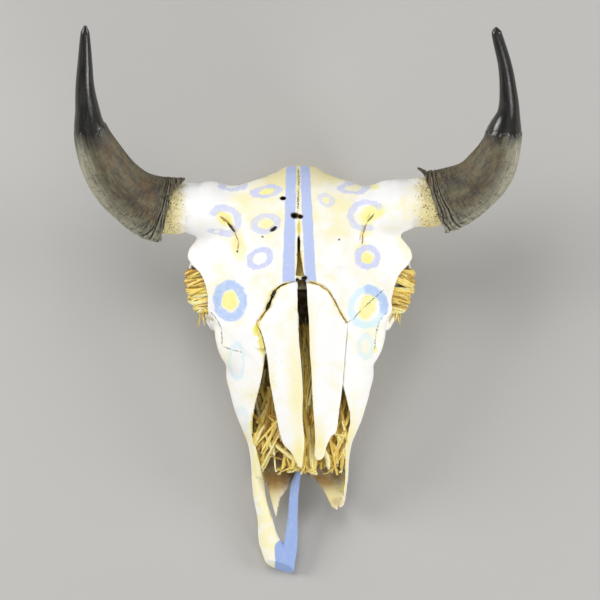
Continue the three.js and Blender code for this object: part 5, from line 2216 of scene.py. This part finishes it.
@dataclass(frozen=True)
class Studio:
    """The floor, the lamps and the camera."""

    lens: float = 400.0
    sensor: float = 36.0
    view_width: float = 800.0
    floor_reach: float = 6.0
    floor_paper: str = "#bdbbb6"
    sky: str = "#f4f6ff"
    sky_strength: float = 0.27
    boxes: tuple[tuple[Any, ...], ...] = (
        ("left_box", (-2.6, 0.3, 1.5), 1.4, 54.0), ("right_box", (2.6, 0.1, 1.5), 1.4, 36.0),
        ("top_box", (-0.5, 1.4, 3.0), 1.6, 30.0), ("front_box", (1.5, -2.5, 1.0), 1.0, 34.0))

    def build(self) -> None:
        """Set the stage."""
        self.floor()
        self.lamps()
        self.camera()

    def floor(self) -> None:
        """A wide pale floor."""
        reach = self.floor_reach
        corners = np.array([(-reach, -reach, 0), (reach, -reach, 0), (reach, reach, 0), (-reach, reach, 0)])
        piece = mesh_object("studio_floor", corners, np.array([(0, 1, 2, 3)]))
        # To the eye: an even pale grey that never shines.
        material = bpy.data.materials.new("matt_paper_floor")
        material.use_nodes = True
        shader = material.node_tree.nodes["Principled BSDF"]
        shader.inputs["Base Color"].default_value = colour(self.floor_paper)
        shader.inputs["Roughness"].default_value = 0.9
        piece.data.materials.append(material)

    def lamps(self) -> None:
        """A soft box at each side, one above, a low one in front, and a little light from all round."""
        for name, place, size, strength in self.boxes:
            data = bpy.data.lights.new(name, "AREA")
            data.size = size
            data.energy = strength
            lamp = bpy.data.objects.new(name, data)
            lamp.location = place
            aim = Vector((0, 0, 0.15)) - Vector(place)
            lamp.rotation_euler = aim.to_track_quat("-Z", "Y").to_euler()
            bpy.context.scene.collection.objects.link(lamp)
        world = bpy.data.worlds.new("studio")
        world.use_nodes = True
        world.node_tree.nodes["Background"].inputs["Color"].default_value = colour(self.sky)
        world.node_tree.nodes["Background"].inputs["Strength"].default_value = self.sky_strength
        bpy.context.scene.world = world

    def camera(self) -> None:
        """A long lens straight above the forehead, square to the face."""
        turn = FACE.matrix()
        target = turn @ Vector((0, 0, 0))
        out = (turn.to_3x3() @ Vector((0, 0, 1))).normalized()
        up = (turn.to_3x3() @ Vector((0, 1, 0))).normalized()
        distance = self.view_width * MM * self.lens / self.sensor
        data = bpy.data.cameras.new("camera")
        data.lens = self.lens
        data.sensor_width = self.sensor
        data.clip_end = 60
        camera = bpy.data.objects.new("camera", data)
        right = up.cross(out)
        camera.matrix_world = Matrix.Translation(target + out * distance) @ Matrix(
            (right, up, out)).transposed().to_4x4()
        bpy.context.scene.collection.objects.link(camera)
        bpy.context.scene.camera = camera
        bpy.context.scene.view_settings.view_transform = "Standard"


def main() -> None:
    """Build the skull, piece by piece."""
    logging.basicConfig(level=logging.INFO, format="%(relativeCreated)d ms %(message)s")
    Studio().build()
    bone, keratin, grass = PaintedBone().material(), WornKeratin().material(), DriedGrass().material()
    enamel = ToothEnamel().material()
    for piece in (Cranium(), *MAXILLAE, *NASALS):
        piece.build(bone)
    Premaxilla().build(PaintedBone(painted_end=True).material())
    for side in Side:
        CheekTeeth(f"cheek_teeth_{side.label}", (), side=side).build(enamel)
        OrbitGrass(side, 40 + side.value).build(grass)
    for horn in HORNS:
        horn.build(keratin)
    NoseGrass().build(grass)


if __name__ == "__main__":
    main()
